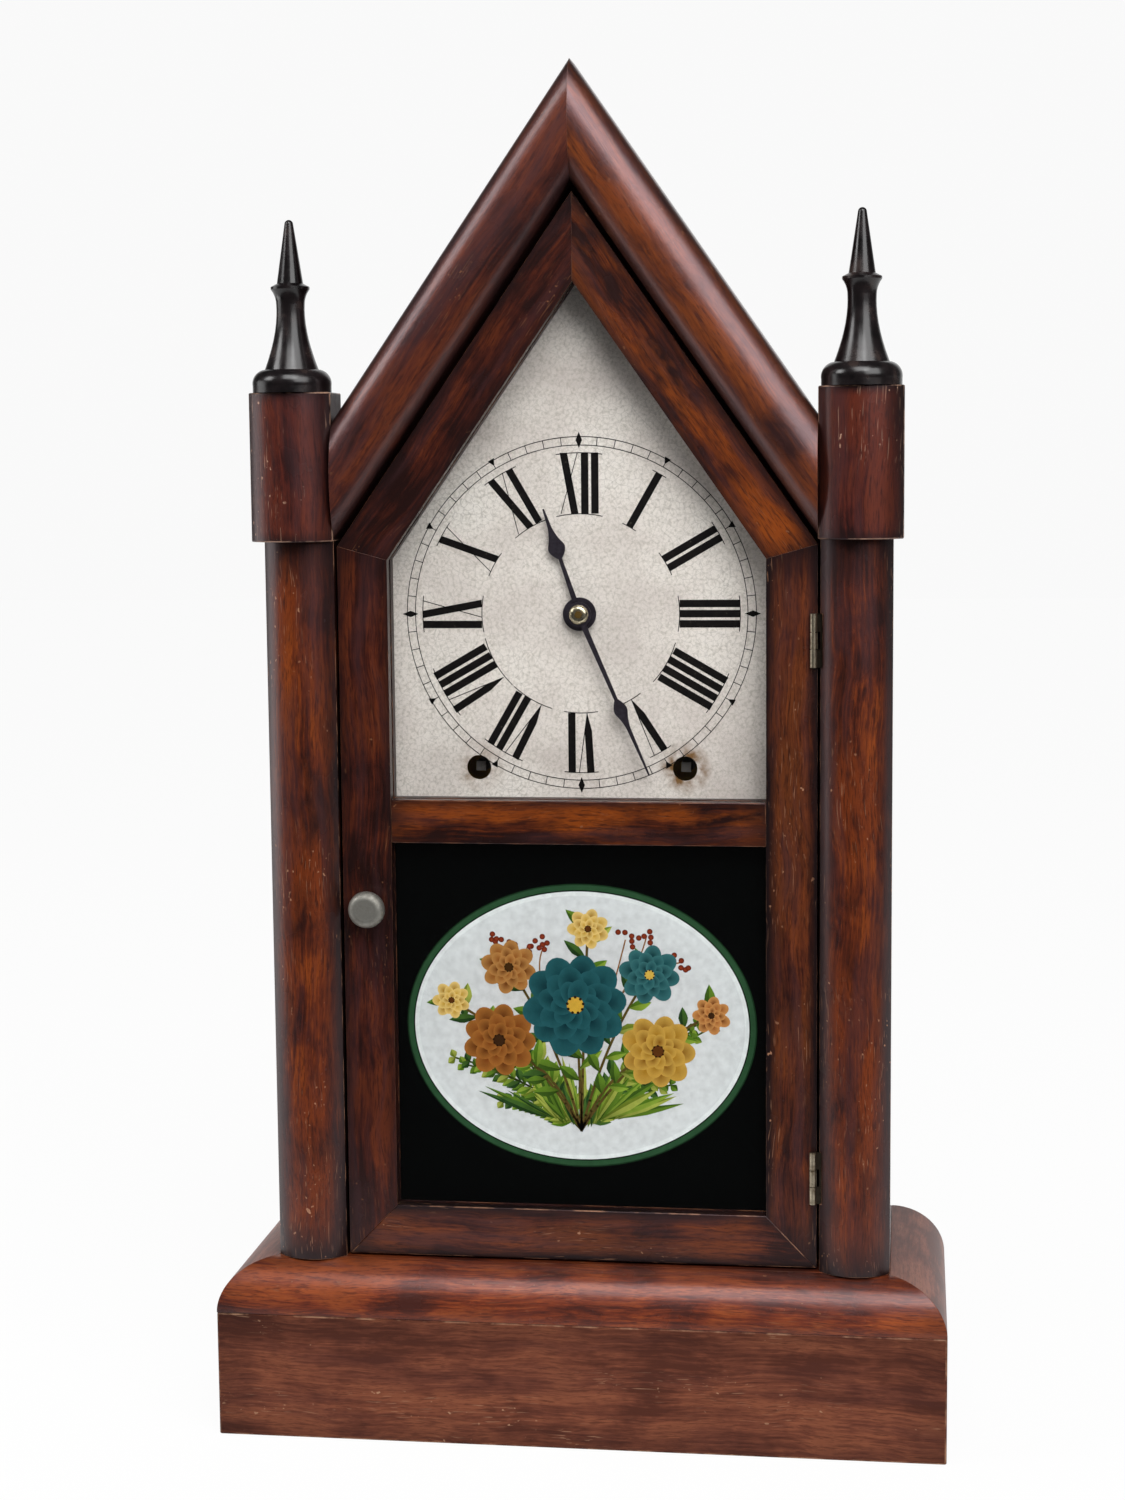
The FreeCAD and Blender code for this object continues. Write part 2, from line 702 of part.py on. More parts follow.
# Knob and latch: a cast knob on a spindle through the stile, with a tongue that turns behind
# the catch plate on the back of the case's stile.
tongue_y = frame_back_y + catch_thickness + tongue_gap
tongue_end_y = tongue_y + tongue_thickness
collar_y = door_front_y - knob_running_gap
knob_low_y = collar_y - knob_neck_height
knob_top_y = collar_y - knob_height
knob_edge_y = (knob_low_y + knob_top_y) / 2


def knob_point(radius, y):
    """A point on the turned outline of the knob."""
    return V(knob_x + radius, y, knob_z)


knob_dome = Part.Arc(knob_point(knob_neck_radius, knob_low_y), knob_point(knob_radius, knob_edge_y),
                     knob_point(knob_neck_radius, knob_top_y)).toShape()
knob_rest = Part.makePolygon([knob_point(knob_neck_radius, knob_top_y), knob_point(0, knob_top_y),
                              knob_point(0, tongue_end_y), knob_point(knob_spindle_radius, tongue_end_y),
                              knob_point(knob_spindle_radius, collar_y),
                              knob_point(knob_neck_radius, collar_y),
                              knob_point(knob_neck_radius, knob_low_y)])
knob = Part.Face(Part.Wire([knob_dome] + knob_rest.Edges)).revolve(knob_point(0, 0), V(0, 1, 0), 360)
save("door_knob", knob)
tongue = block(knob_x - tongue_width / 2, knob_x + tongue_width / 2, tongue_y, tongue_end_y,
               knob_z - tongue_length, knob_z)
tongue = tongue.fuse(rod(knob_x, knob_z, tongue_width / 2, tongue_y, tongue_end_y))
tongue = tongue.cut(rod(knob_x, knob_z, knob_spindle_radius + fit_gap, tongue_y - cut_over,
                        tongue_end_y + cut_over))
save("latch_tongue", tongue.removeSplitter().Solids[0])
save("catch_plate", block(-stile_inner_half - catch_width, -stile_inner_half, frame_back_y,
                          frame_back_y + catch_thickness, knob_z - catch_height / 2,
                          knob_z + catch_height / 2))

# Dial: a painted sheet pinned to two battens on the inner edges of the stiles.
dial_apex_z = rail_apex_z - dial_edge_gap / slope_sin
dial = panel(gable_outline(dial_half_width, dial_bottom_z, dial_apex_z), dial_front_y, dial_back_y)
dial_holes = [(0, dial_centre_z, dial_centre_hole), (-wind_x, wind_z, dial_wind_hole),
              (wind_x, wind_z, dial_wind_hole)]
batten_top_z = slope_z(dial_apex_z, dial_half_width)
pin_places = [(side * (stile_inner_half - pin_inset), z) for side in (-1, 1)
              for z in (dial_bottom_z + pin_end_inset, batten_top_z - pin_end_inset)]
batten = block(stile_inner_half - batten_width, stile_inner_half, dial_back_y, dial_back_y + batten_depth,
               dial_bottom_z, batten_top_z)
battens = [mirrored(batten), batten]
pins = []
for x, z in pin_places:
    dial_holes.append((x, z, pin_radius + fit_gap))
    pin_end_y = dial_front_y + pin_length
    hole = rod(x, z, pin_radius + fit_gap, dial_front_y - cut_over, pin_end_y)
    battens = [piece.cut(hole) for piece in battens]
    head = rod(x, z, pin_head_radius, dial_front_y - pin_head_height, dial_front_y)
    pins.append(head.fuse(rod(x, z, pin_radius, dial_front_y, pin_end_y)).removeSplitter().Solids[0])
for x, z, radius in dial_holes:
    dial = dial.cut(rod(x, z, radius, dial_front_y - cut_over, dial_back_y + cut_over))
save("dial_plate", dial)
save("dial_battens", *battens)
save("dial_pins", *pins)

# Hands: spade hands of blued steel. The hour hand is pushed on the hour pipe, the minute hand
# on the post of the cannon pinion, under a brass nut.
hour_back_y = dial_front_y - hour_hand_clear
hour_front_y = hour_back_y - hand_thickness
minute_back_y = hour_front_y - minute_hand_clear
minute_front_y = minute_back_y - hand_thickness
nut_front_y = minute_front_y - nut_height
minute_hand_length = min(opening_half, dial_centre_z - upper_opening_z) - hand_sweep_clear
hour_hand_length = minute_hand_length * hour_hand_share
# Places along a spade, and its half width there, as shares of its length and of its greatest half width
hand_spade_shares = [(0.15, 0.72), (0.35, 1.0), (0.55, 0.69), (0.75, 0.42)]


def hand(length, hub, spade_half, spade_shares, bore, y0, y1, angle):
    """A spade hand, pointing up and then turned to its place on the dial."""
    spade_start, spade_end = (length * share for share in spade_shares)
    spade_side = [(hand_neck_half, spade_start)]
    spade_side += [(spade_half * out_share, spade_start + (spade_end - spade_start) * along_share)
                   for along_share, out_share in hand_spade_shares]
    spade_side.append((hand_needle_half, spade_end))

    def at(x, along):
        return V(x, y0, dial_centre_z + along)

    right = curve([at(x, along) for x, along in spade_side])
    left = curve([at(-x, along) for x, along in reversed(spade_side)])
    shank = Part.makePolygon([at(-hand_neck_half, spade_start), at(-hand_shank_half, 0),
                              at(hand_shank_half, 0), at(hand_neck_half, spade_start)])
    needle = Part.makePolygon([at(hand_needle_half, spade_end), at(hand_tip_half, length),
                               at(-hand_tip_half, length), at(-hand_needle_half, spade_end)])
    wire = Part.Wire(shank.Edges + [right] + needle.Edges + [left])
    blade = Part.Face(wire).extrude(V(0, y1 - y0, 0))
    blade = blade.fuse(rod(0, dial_centre_z, hub, y0, y1))
    blade = blade.cut(rod(0, dial_centre_z, bore, y0 - cut_over, y1 + cut_over)).removeSplitter().Solids[0]
    blade.rotate(V(0, 0, dial_centre_z), V(0, 1, 0), angle)
    return blade


save("hour_hand", hand(hour_hand_length, hour_hub_radius, hour_spade_half, hour_spade_shares,
                       hour_pipe_radius + fit_gap, hour_front_y, hour_back_y, hour_hand_angle))
save("minute_hand", hand(minute_hand_length, minute_hub_radius, minute_spade_half, minute_spade_shares,
                         hand_post_radius + fit_gap, minute_front_y, minute_back_y, minute_hand_angle))
nut_bore = hand_post_radius + fit_gap
nut_edge_y = minute_front_y - nut_edge


def nut_point(radius, y):
    """A point on the turned outline of the nut."""
    return V(radius, y, dial_centre_z)


nut_dome = Part.Arc(nut_point(nut_radius, nut_edge_y),
                    nut_point(nut_bore + (nut_radius - nut_bore) * round_share,
                              nut_edge_y + (nut_front_y - nut_edge_y) * round_share),
                    nut_point(nut_bore, nut_front_y)).toShape()
nut_rest = Part.makePolygon([nut_point(nut_bore, nut_front_y), nut_point(nut_bore, minute_front_y),
                             nut_point(nut_radius, minute_front_y), nut_point(nut_radius, nut_edge_y)])
nut = Part.Face(Part.Wire([nut_dome] + nut_rest.Edges)).revolve(nut_point(0, 0), V(0, 1, 0), 360)
save("hand_nut", nut)

# Movement: two brass plates on four pillars, standing on four feet screwed to the backboard.
# Every arbor turns in holes drilled through both plates.
centre = (0, dial_centre_z)
time_arbor = (wind_x, wind_z)
strike_arbor = (-wind_x, wind_z)
verge_arbor = (pendulum_x, verge_z)
escape_arbor = (pendulum_x, verge_z - verge_to_escape)


def meet(first, first_distance, second, second_distance):
    """The upper right point at given distances from two arbors."""
    dx = second[0] - first[0]
    dz = second[1] - first[1]
    apart = math.hypot(dx, dz)
    along = (first_distance ** 2 - second_distance ** 2 + apart ** 2) / (2 * apart)
    aside = math.sqrt(max(first_distance ** 2 - along ** 2, 0))
    return (first[0] + (dx * along + abs(dz) * aside) / apart,
            first[1] + (dz * along + abs(dx) * aside) / apart)


def polar(point, distance, turn):
    """A point at a distance and a clockwise turn from straight up."""
    angle = math.radians(turn)
    return (point[0] + distance * math.sin(angle), point[1] + distance * math.cos(angle))


main_distance = (main_teeth + second_pins) * main_module / 2
second_distance = (second_teeth + centre_pins) * second_module / 2
third_distance = (centre_teeth + third_pins) * centre_module / 2
escape_distance = (third_teeth + escape_pins) * third_module / 2
motion_distance = (cannon_teeth + minute_teeth) * motion_module / 2
hour_module = 2 * motion_distance / (minute_pinion_teeth + hour_teeth)
second_arbor = meet(time_arbor, main_distance, centre, second_distance)
third_arbor = meet(centre, third_distance, escape_arbor, escape_distance)
pin_arbor = polar(strike_arbor, main_distance, pin_wheel_angle)
minute_stud = polar(centre, motion_distance, minute_wheel_angle)

ratchet_y = plate_back_y + layer_gap
main_y = ratchet_y + ratchet_width + ratchet_gap
escape_y = plate_back_y + layer_gap
second_y = main_y + main_wheel_width + layer_gap
spring_y = second_y + wheel_width + layer_gap
spring_end_y = spring_y + spring_width
centre_y = second_y + wheel_width + layer_gap
third_y = centre_y + wheel_width + layer_gap + lantern_cap_thickness
pin_wheel_y = spring_end_y + layer_gap
arbor_front_y = plate_front_y - arbor_over
arbor_back_y = rear_plate_back_y + arbor_over


def drilled(shape, point, radius, y0, y1):
    """A piece with a round hole through it from front to back."""
    return shape.cut(rod(point[0], point[1], radius, y0 - cut_over, y1 + cut_over))


plate_outline = [(-plate_half_width, plate_bottom_z), (plate_half_width, plate_bottom_z),
                 (plate_top_half_width, plate_top_z), (-plate_top_half_width, plate_top_z)]
front_plate = panel(plate_outline, plate_front_y, plate_back_y)
rear_plate = panel(plate_outline, rear_plate_front_y, rear_plate_back_y)
small_arbors = (second_arbor, third_arbor, escape_arbor, verge_arbor, pin_arbor)
pivots = [(point, pivot_radius) for point in small_arbors]
pivots += [(centre, arbor_radius), (time_arbor, wind_arbor_radius), (strike_arbor, wind_arbor_radius)]
for point, radius in pivots:
    front_plate = drilled(front_plate, point, radius + running_gap, plate_front_y, plate_back_y)
    rear_plate = drilled(rear_plate, point, radius + running_gap, rear_plate_front_y, rear_plate_back_y)

cannon_back_y = plate_front_y - motion_gap
cannon_front_y = cannon_back_y - cannon_width
minute_wheel_back_y = (cannon_back_y + cannon_front_y + wheel_width) / 2
minute_wheel_front_y = minute_wheel_back_y - wheel_width
minute_pinion_front_y = minute_wheel_front_y - minute_pinion_width
hour_wheel_back_y = minute_wheel_front_y - hour_wheel_clear
hour_wheel_front_y = hour_wheel_back_y - wheel_width
front_plate = front_plate.fuse(rod(minute_stud[0], minute_stud[1], pivot_radius,
                                   minute_pinion_front_y - minute_stud_over, plate_front_y))
gong_y = backboard_front_y - gong_stand_off
hammer_stud = (hammer_stud_x, hammer_stud_z)
hammer_front_y = gong_y - hammer_hub_width / 2
hammer_back_y = gong_y + hammer_hub_width / 2
rear_plate = rear_plate.fuse(rod(hammer_stud_x, hammer_stud_z, hammer_stud_radius, rear_plate_back_y,
                                 hammer_back_y + hammer_stud_over))
save("front_plate", front_plate.removeSplitter().Solids[0])
save("back_plate", rear_plate.removeSplitter().Solids[0])
save("pillars", *[rod(x, z, pillar_radius, plate_back_y, rear_plate_front_y) for x, z in foot_places])

feet = []
flange_front_y = backboard_front_y - foot_flange_thickness
for (x, z), (screw_x, screw_z) in zip(foot_places, foot_screw_places):
    flange_reach = math.copysign(foot_flange_length / 2, screw_z - z)
    middle_z = z + flange_reach / 2
    flange = block(x - foot_flange_width / 2, x + foot_flange_width / 2, flange_front_y, backboard_front_y,
                   middle_z - foot_flange_length / 2, middle_z + foot_flange_length / 2)
    foot = flange.fuse(rod(x, z, foot_radius, rear_plate_back_y, backboard_front_y))
    foot = drilled(foot, (screw_x, screw_z), screw_radius + fit_gap, flange_front_y, backboard_front_y)
    feet.append(foot.removeSplitter().Solids[0])


def wood_screw(x, z, seat_y):
    """A round-headed screw seated on a flange, with its shank in the backboard."""
    head = rod(x, z, screw_head_radius, seat_y - screw_head_height, seat_y)
    shank = rod(x, z, screw_radius, seat_y, backboard_front_y + screw_length)
    return head.fuse(shank).removeSplitter().Solids[0]


screws = [wood_screw(x, z, flange_front_y) for x, z in foot_screw_places]
screws += [wood_screw(x, z, backboard_front_y - gong_base_thickness) for x, z in gong_screw_places]
save("movement_feet", *feet)
save("wood_screws", *screws)

# Wheels: thin brass discs with cut teeth and crossed-out arms. The driven pinions are
# lanterns, with steel pins between two brass caps.


def toothed_disc(point, teeth, module, y0, y1):
    """A toothed disc with a tooth pointing straight up."""
    radius = teeth * module / 2
    tip = radius + module * tooth_height_share
    root = radius - module * tooth_depth_share
    steps = [(root, -tooth_root_share), (tip, -tooth_tip_share),
             (tip, tooth_tip_share), (root, tooth_root_share)]
    corners = []
    for i in range(teeth):
        for distance, share in steps:
            corners.append(polar(point, distance, 360 * (i + share) / teeth))
    return panel(corners, y0, y1)


def crossed(wheel, point, rim_radius, hub, y0, y1):
    """A wheel with openings between its arms."""
    inner = rim_radius - rim_width
    openings = rod(point[0], point[1], inner, y0 - cut_over, y1 + cut_over)
    openings = openings.cut(rod(point[0], point[1], hub, y0 - 2 * cut_over, y1 + 2 * cut_over))
    for i in range(crossing_count):
        arm = block(point[0] - crossing_width / 2, point[0] + crossing_width / 2, y0 - 2 * cut_over,
                    y1 + 2 * cut_over, point[1], point[1] + rim_radius)
        arm.rotate(V(point[0], 0, point[1]), V(0, 1, 0), 360 * i / crossing_count)
        openings = openings.cut(arm)
    return wheel.cut(openings)


def wheel(point, teeth, module, y0, y1, hub, turn):
    """A crossed wheel, turned so that its teeth stand in mesh."""
    root = teeth * module / 2 - module * tooth_depth_share
    disc = crossed(toothed_disc(point, teeth, module, y0, y1), point, root, hub, y0, y1)
    disc.rotate(V(point[0], 0, point[1]), V(0, 1, 0), turn)
    return disc


def lantern(point, pins, module, y0, y1, turn):
    """A lantern pinion beside a wheel that lies between y0 and y1."""
    radius = pins * module / 2
    pin_size = module * lantern_pin_share
    low = y0 - lantern_room
    high = y1 + lantern_room
    cap_radius = radius + pin_size + lantern_rim
    shape = rod(point[0], point[1], cap_radius, low - lantern_cap_thickness, low)
    shape = shape.fuse(rod(point[0], point[1], cap_radius, high, high + lantern_cap_thickness))
    for i in range(pins):
        x, z = polar(point, radius, turn + 360 * i / pins)
        shape = shape.fuse(rod(x, z, pin_size, low, high))
    return shape


def heading(start, end):
    """Clockwise turn from straight up of the line from one arbor to another."""
    return math.degrees(math.atan2(end[0] - start[0], end[1] - start[1]))


def arbor(point, radius):
    """A plain arbor through both plates."""
    return rod(point[0], point[1], radius, arbor_front_y, arbor_back_y)


def half_pitch_turn(start, end, count):
    """Turn that puts a gap, not a pin, on the line to the next arbor."""
    return heading(start, end) + 180 / count


# Time train: the main wheel drives the second wheel, then the centre, third and escape wheels.
main_bore = wind_arbor_radius + running_gap


def main_wheel(point, turn):
    """A main wheel, loose on its winding arbor, with the click that holds the ratchet."""
    disc = wheel(point, main_teeth, main_module, main_y, main_y + main_wheel_width, main_hub_radius, turn)
    disc = drilled(disc, point, main_bore, main_y, main_y + main_wheel_width)
    click_z = point[1] + ratchet_radius + click_gap
    click = block(point[0] - click_length / 2, point[0] + click_length / 2, ratchet_y, main_y, click_z,
                  click_z + click_width)
    return disc.Solids[0], click


save("time_main_wheel", *main_wheel(time_arbor, heading(time_arbor, second_arbor)))
second_wheel = wheel(second_arbor, second_teeth, second_module, second_y, second_y + wheel_width,
                     wheel_hub_radius, heading(second_arbor, centre))
second_wheel = second_wheel.fuse(lantern(second_arbor, second_pins, main_module, main_y,
                                         main_y + main_wheel_width,
                                         half_pitch_turn(second_arbor, time_arbor, second_pins)))
save("second_wheel", second_wheel.fuse(arbor(second_arbor, pivot_radius)).removeSplitter().Solids[0])

arbor_tip_y = minute_back_y + hand_thickness + minute_hand_clear
centre_wheel = wheel(centre, centre_teeth, centre_module, centre_y, centre_y + wheel_width, wheel_hub_radius,
                     heading(centre, third_arbor))
centre_lantern = lantern(centre, centre_pins, second_module, second_y, second_y + wheel_width,
                         half_pitch_turn(centre, second_arbor, centre_pins))
centre_wheel = centre_wheel.fuse(centre_lantern)
centre_wheel = centre_wheel.fuse(rod(0, dial_centre_z, arbor_radius, arbor_tip_y, arbor_back_y))
save("centre_wheel", centre_wheel.removeSplitter().Solids[0])

third_wheel = wheel(third_arbor, third_teeth, third_module, third_y, third_y + wheel_width, wheel_hub_radius,
                    heading(third_arbor, escape_arbor))
third_lantern = lantern(third_arbor, third_pins, centre_module, centre_y, centre_y + wheel_width,
                        half_pitch_turn(third_arbor, centre, third_pins))
third_wheel = third_wheel.fuse(third_lantern)
save("third_wheel", third_wheel.fuse(arbor(third_arbor, pivot_radius)).removeSplitter().Solids[0])

escape_corners = []
escape_lean_share = 0.3
for i in range(escape_teeth):
    escape_corners.append(polar(escape_arbor, escape_root_radius, 360 * i / escape_teeth))
    tip_turn = 360 * (i + escape_lean_share) / escape_teeth
    escape_corners.append(polar(escape_arbor, escape_tip_radius, tip_turn))
escape_wheel = panel(escape_corners, escape_y, escape_y + wheel_width)
escape_lantern = lantern(escape_arbor, escape_pins, third_module, third_y, third_y + wheel_width,
                         half_pitch_turn(escape_arbor, third_arbor, escape_pins))
escape_wheel = escape_wheel.fuse(escape_lantern)
save("escape_wheel", escape_wheel.fuse(arbor(escape_arbor, pivot_radius)).removeSplitter().Solids[0])

# Motion work: the cannon pinion carries the minute hand and turns the hour wheel through the
# minute wheel on its stud.
cannon = toothed_disc(centre, cannon_teeth, motion_module, cannon_front_y, cannon_back_y)
cannon.rotate(V(0, 0, dial_centre_z), V(0, 1, 0), half_pitch_turn(centre, minute_stud, cannon_teeth))
cannon = cannon.fuse(rod(0, dial_centre_z, cannon_radius, minute_back_y, cannon_back_y))
cannon = cannon.cut(rod(0, dial_centre_z, arbor_radius + running_gap, arbor_tip_y - running_gap,
                        cannon_back_y + cut_over))
cannon = cannon.fuse(rod(0, dial_centre_z, hand_post_radius, nut_front_y - hand_post_over, minute_back_y))
save("cannon_pinion", cannon.removeSplitter().Solids[0])

minute_wheel = toothed_disc(minute_stud, minute_teeth, motion_module, minute_wheel_front_y,
                            minute_wheel_back_y)
minute_wheel.rotate(V(minute_stud[0], 0, minute_stud[1]), V(0, 1, 0), heading(minute_stud, centre))
minute_pinion = toothed_disc(minute_stud, minute_pinion_teeth, hour_module, minute_pinion_front_y,
                             minute_wheel_front_y)
minute_pinion.rotate(V(minute_stud[0], 0, minute_stud[1]), V(0, 1, 0),
                     half_pitch_turn(minute_stud, centre, minute_pinion_teeth))
minute_wheel = drilled(minute_wheel.fuse(minute_pinion), minute_stud, pivot_radius + running_gap,
                       minute_pinion_front_y, minute_wheel_back_y)
save("minute_wheel", minute_wheel.removeSplitter().Solids[0])

hour_wheel = toothed_disc(centre, hour_teeth, hour_module, hour_wheel_front_y, hour_wheel_back_y)
hour_wheel.rotate(V(0, 0, dial_centre_z), V(0, 1, 0), heading(centre, minute_stud))
hour_wheel = hour_wheel.fuse(rod(0, dial_centre_z, hour_pipe_radius, hour_front_y, hour_wheel_back_y))
hour_wheel = drilled(hour_wheel, centre, hour_pipe_radius - hour_pipe_wall, hour_front_y, hour_wheel_back_y)
save("hour_wheel", hour_wheel.removeSplitter().Solids[0])

# Winding work: each arbor has a square for the key, a ratchet wheel and a hub for its spring.
wind_front_y = dial_back_y + wind_behind_dial


def winding_arbor(point):
    """A winding arbor through both plates."""
    half = wind_square / 2
    square_end_y = plate_front_y - arbor_over
    shape = block(point[0] - half, point[0] + half, wind_front_y, square_end_y,
                  point[1] - half, point[1] + half)
    shape = shape.fuse(rod(point[0], point[1], wind_arbor_radius, square_end_y, arbor_back_y))
    shape = shape.fuse(rod(point[0], point[1], spring_hub_radius, spring_y, spring_end_y))
    corners = []
    for i in range(ratchet_teeth):
        corners.append(polar(point, ratchet_root_radius, 360 * i / ratchet_teeth))
        corners.append(polar(point, ratchet_radius, 360 * i / ratchet_teeth))
    return shape.fuse(panel(corners, ratchet_y, ratchet_y + ratchet_width)).removeSplitter().Solids[0]


save("time_winding_arbor", winding_arbor(time_arbor))
save("strike_winding_arbor", winding_arbor(strike_arbor))


def half_turns(inner_radius, pitch, turns, y, centre_point, offset):
    """Half-circle edges of a flat spiral, set off sideways from its middle line."""
    edges = []
    for i in range(2 * turns):
        radius = inner_radius + i * pitch / 2
        middle = V(centre_point[0] + (pitch / 2 if i % 2 else 0), y, centre_point[1])
        reach = radius + offset
        side = -1 if i % 2 else 1
        edges.append(Part.Arc(middle + V(side * reach, 0, 0), middle + V(0, 0, side * reach),
                              middle + V(-side * reach, 0, 0)).toShape())
    return edges


def mainspring(point):
    """A coiled steel strip round the hub of a winding arbor."""
    inner = spring_hub_radius + spring_inner_gap + spring_strip / 2
    half = spring_strip / 2
    outer_edges = half_turns(inner, spring_pitch, spring_turn_count, spring_y, point, half)
    inner_edges = half_turns(inner, spring_pitch, spring_turn_count, spring_y, point, -half)
    start_x = point[0] + inner
    end_x = point[0] + inner + spring_pitch * spring_turn_count
    ends = [Part.makeLine(V(x - half, spring_y, point[1]), V(x + half, spring_y, point[1]))
            for x in (start_x, end_x)]
    edges = Part.__sortEdges__(outer_edges + inner_edges + ends)
    return Part.Face(Part.Wire(edges)).extrude(V(0, spring_width, 0))


save("mainsprings", mainspring(strike_arbor), mainspring(time_arbor))

# Escapement: the verge spans the escape wheel, and its crutch reaches forward through the plate
# to an eye round the pendulum rod.
ex, ez = escape_arbor
verge_inner = escape_tip_radius + pallet_gap
verge_outer = verge_inner + verge_strip
verge = rod(ex, ez, verge_outer, escape_y, escape_y + pallet_width)
verge = verge.cut(rod(ex, ez, verge_inner, escape_y - cut_over, escape_y + pallet_width + cut_over))
span = [escape_arbor]
span += [polar(escape_arbor, 2 * verge_outer, turn) for turn in (-pallet_angle, 0, pallet_angle)]
verge = verge.common(panel(span, escape_y - cut_over, escape_y + pallet_width + cut_over))
verge = verge.fuse(block(pendulum_x - verge_strip, pendulum_x + verge_strip, escape_y,
                         escape_y + pallet_width, ez + verge_inner + verge_strip / 2, verge_z))
verge = verge.fuse(rod(pendulum_x, verge_z, verge_hub_radius, escape_y, escape_y + pallet_width))
crutch_y = plate_front_y - crutch_to_plate
pendulum_y = plate_front_y - pendulum_to_plate
verge = verge.fuse(rod(pendulum_x, verge_z, pivot_radius, crutch_y - pivot_radius, arbor_back_y))
eye_z = verge_z - crutch_length
eye_half = rod_radius + rod_gap + crutch_radius * 2
verge = verge.fuse(Part.makeCylinder(crutch_radius, crutch_length, V(pendulum_x, crutch_y, eye_z)))
eye = block(pendulum_x - eye_half, pendulum_x + eye_half, pendulum_y - eye_half, crutch_y + crutch_radius,
            eye_z - crutch_radius, eye_z + crutch_radius)
eye = eye.cut(Part.makeCylinder(rod_radius + rod_gap, crutch_length,
                                V(pendulum_x, pendulum_y, eye_z - crutch_length / 2)))
save("verge", verge.fuse(eye).removeSplitter().Solids[0])

# Pendulum: a steel rod on a suspension spring held in the slit of a post, with a brass bob.
post_front_y = pendulum_y - suspension_width
post = rod(pendulum_x, post_z, post_radius, post_front_y, plate_front_y)
slit_half = suspension_strip / 2 + suspension_slit_gap
slit_reach = suspension_width / 2 + slit_half
post = post.cut(block(pendulum_x - slit_half, pendulum_x + slit_half, pendulum_y - slit_reach,
                      pendulum_y + slit_reach, post_z - 2 * post_radius, post_z + 2 * post_radius))
save("suspension_post", post)
strip_top_z = post_z + post_radius
strip_low_z = strip_top_z - suspension_length
pendulum_rod = block(pendulum_x - suspension_strip / 2, pendulum_x + suspension_strip / 2,
                     pendulum_y - suspension_width / 2, pendulum_y + suspension_width / 2,
                     strip_low_z, strip_top_z)
rod_low_z = bob_z - bob_radius - rating_nut_height - rod_end
pendulum_rod = pendulum_rod.fuse(Part.makeCylinder(rod_radius, strip_low_z + suspension_width - rod_low_z,
                                                   V(pendulum_x, pendulum_y, rod_low_z)))
rating_nut_z = bob_z - bob_radius - rating_nut_height
pendulum_rod = pendulum_rod.fuse(Part.makeCylinder(rating_nut_radius, rating_nut_height,
                                                   V(pendulum_x, pendulum_y, rating_nut_z)))
save("pendulum_rod", pendulum_rod.removeSplitter().Solids[0])


def bob_point(radius, y):
    """A point on the turned outline of the bob."""
    return V(pendulum_x + radius, pendulum_y + y, bob_z)


bob_middle = (bob_radius + bob_flat_radius) / 2
bob_bend = (bob_half_thickness * math.sqrt(3) + bob_edge_half) / (1 + math.sqrt(3))
front_dome = Part.Arc(bob_point(bob_flat_radius, -bob_half_thickness), bob_point(bob_middle, -bob_bend),
                      bob_point(bob_radius, -bob_edge_half)).toShape()
rear_dome = Part.Arc(bob_point(bob_radius, bob_edge_half), bob_point(bob_middle, bob_bend),
                     bob_point(bob_flat_radius, bob_half_thickness)).toShape()
bob_rim = Part.makeLine(bob_point(bob_radius, -bob_edge_half), bob_point(bob_radius, bob_edge_half))
bob_axis = Part.makePolygon([bob_point(bob_flat_radius, bob_half_thickness), bob_point(0, bob_half_thickness),
                             bob_point(0, -bob_half_thickness),
                             bob_point(bob_flat_radius, -bob_half_thickness)])
bob_edges = [front_dome, bob_rim, rear_dome] + bob_axis.Edges
bob = Part.Face(Part.Wire(bob_edges)).revolve(bob_point(0, 0), V(0, 1, 0), 360)
bob = bob.cut(Part.makeCylinder(rod_radius + fit_gap, 2 * bob_radius + 2 * cut_over,
                                V(pendulum_x, pendulum_y, bob_z - bob_radius - cut_over)))
save("pendulum_bob", bob)

# Strike train: its main wheel drives the pin wheel, whose pins lift the hammer.
save("strike_main_wheel", *main_wheel(strike_arbor, heading(strike_arbor, pin_arbor)))
pin_wheel_end_y = pin_wheel_y + wheel_width
pin_wheel = rod(pin_arbor[0], pin_arbor[1], pin_wheel_radius, pin_wheel_y, pin_wheel_end_y)
pin_wheel = crossed(pin_wheel, pin_arbor, pin_wheel_radius, wheel_hub_radius, pin_wheel_y, pin_wheel_end_y)
for i in range(lift_pin_count):
    x, z = polar(pin_arbor, pin_wheel_radius - lift_pin_inset, 360 * i / lift_pin_count)
    pin_wheel = pin_wheel.fuse(rod(x, z, lift_pin_radius, pin_wheel_y, pin_wheel_end_y + lift_pin_length))
pin_wheel = pin_wheel.fuse(lantern(pin_arbor, second_pins, main_module, main_y, main_y + main_wheel_width,
                                   half_pitch_turn(pin_arbor, strike_arbor, second_pins)))
save("strike_pin_wheel", pin_wheel.fuse(arbor(pin_arbor, pivot_radius)).removeSplitter().Solids[0])

# Gong: a wire coiled in a flat spiral round the post of a cast-iron base on the backboard,
# with the hammer hanging on a stud of the back plate beside its outer turn.
gong_start = gong_post_radius + gong_wire_radius + fit_gap
gong_path = Part.Wire(half_turns(gong_start, gong_pitch, gong_turns, gong_y, (0, gong_z), 0))
wire_section = Part.Wire([Part.makeCircle(gong_wire_radius, V(gong_start, gong_y, gong_z), V(0, 0, 1))])
gong = gong_path.makePipeShell([wire_section], True, False)
save("gong", gong)
print("gong: least gap between turns", round(gong_pitch - 2 * gong_wire_radius, 3))

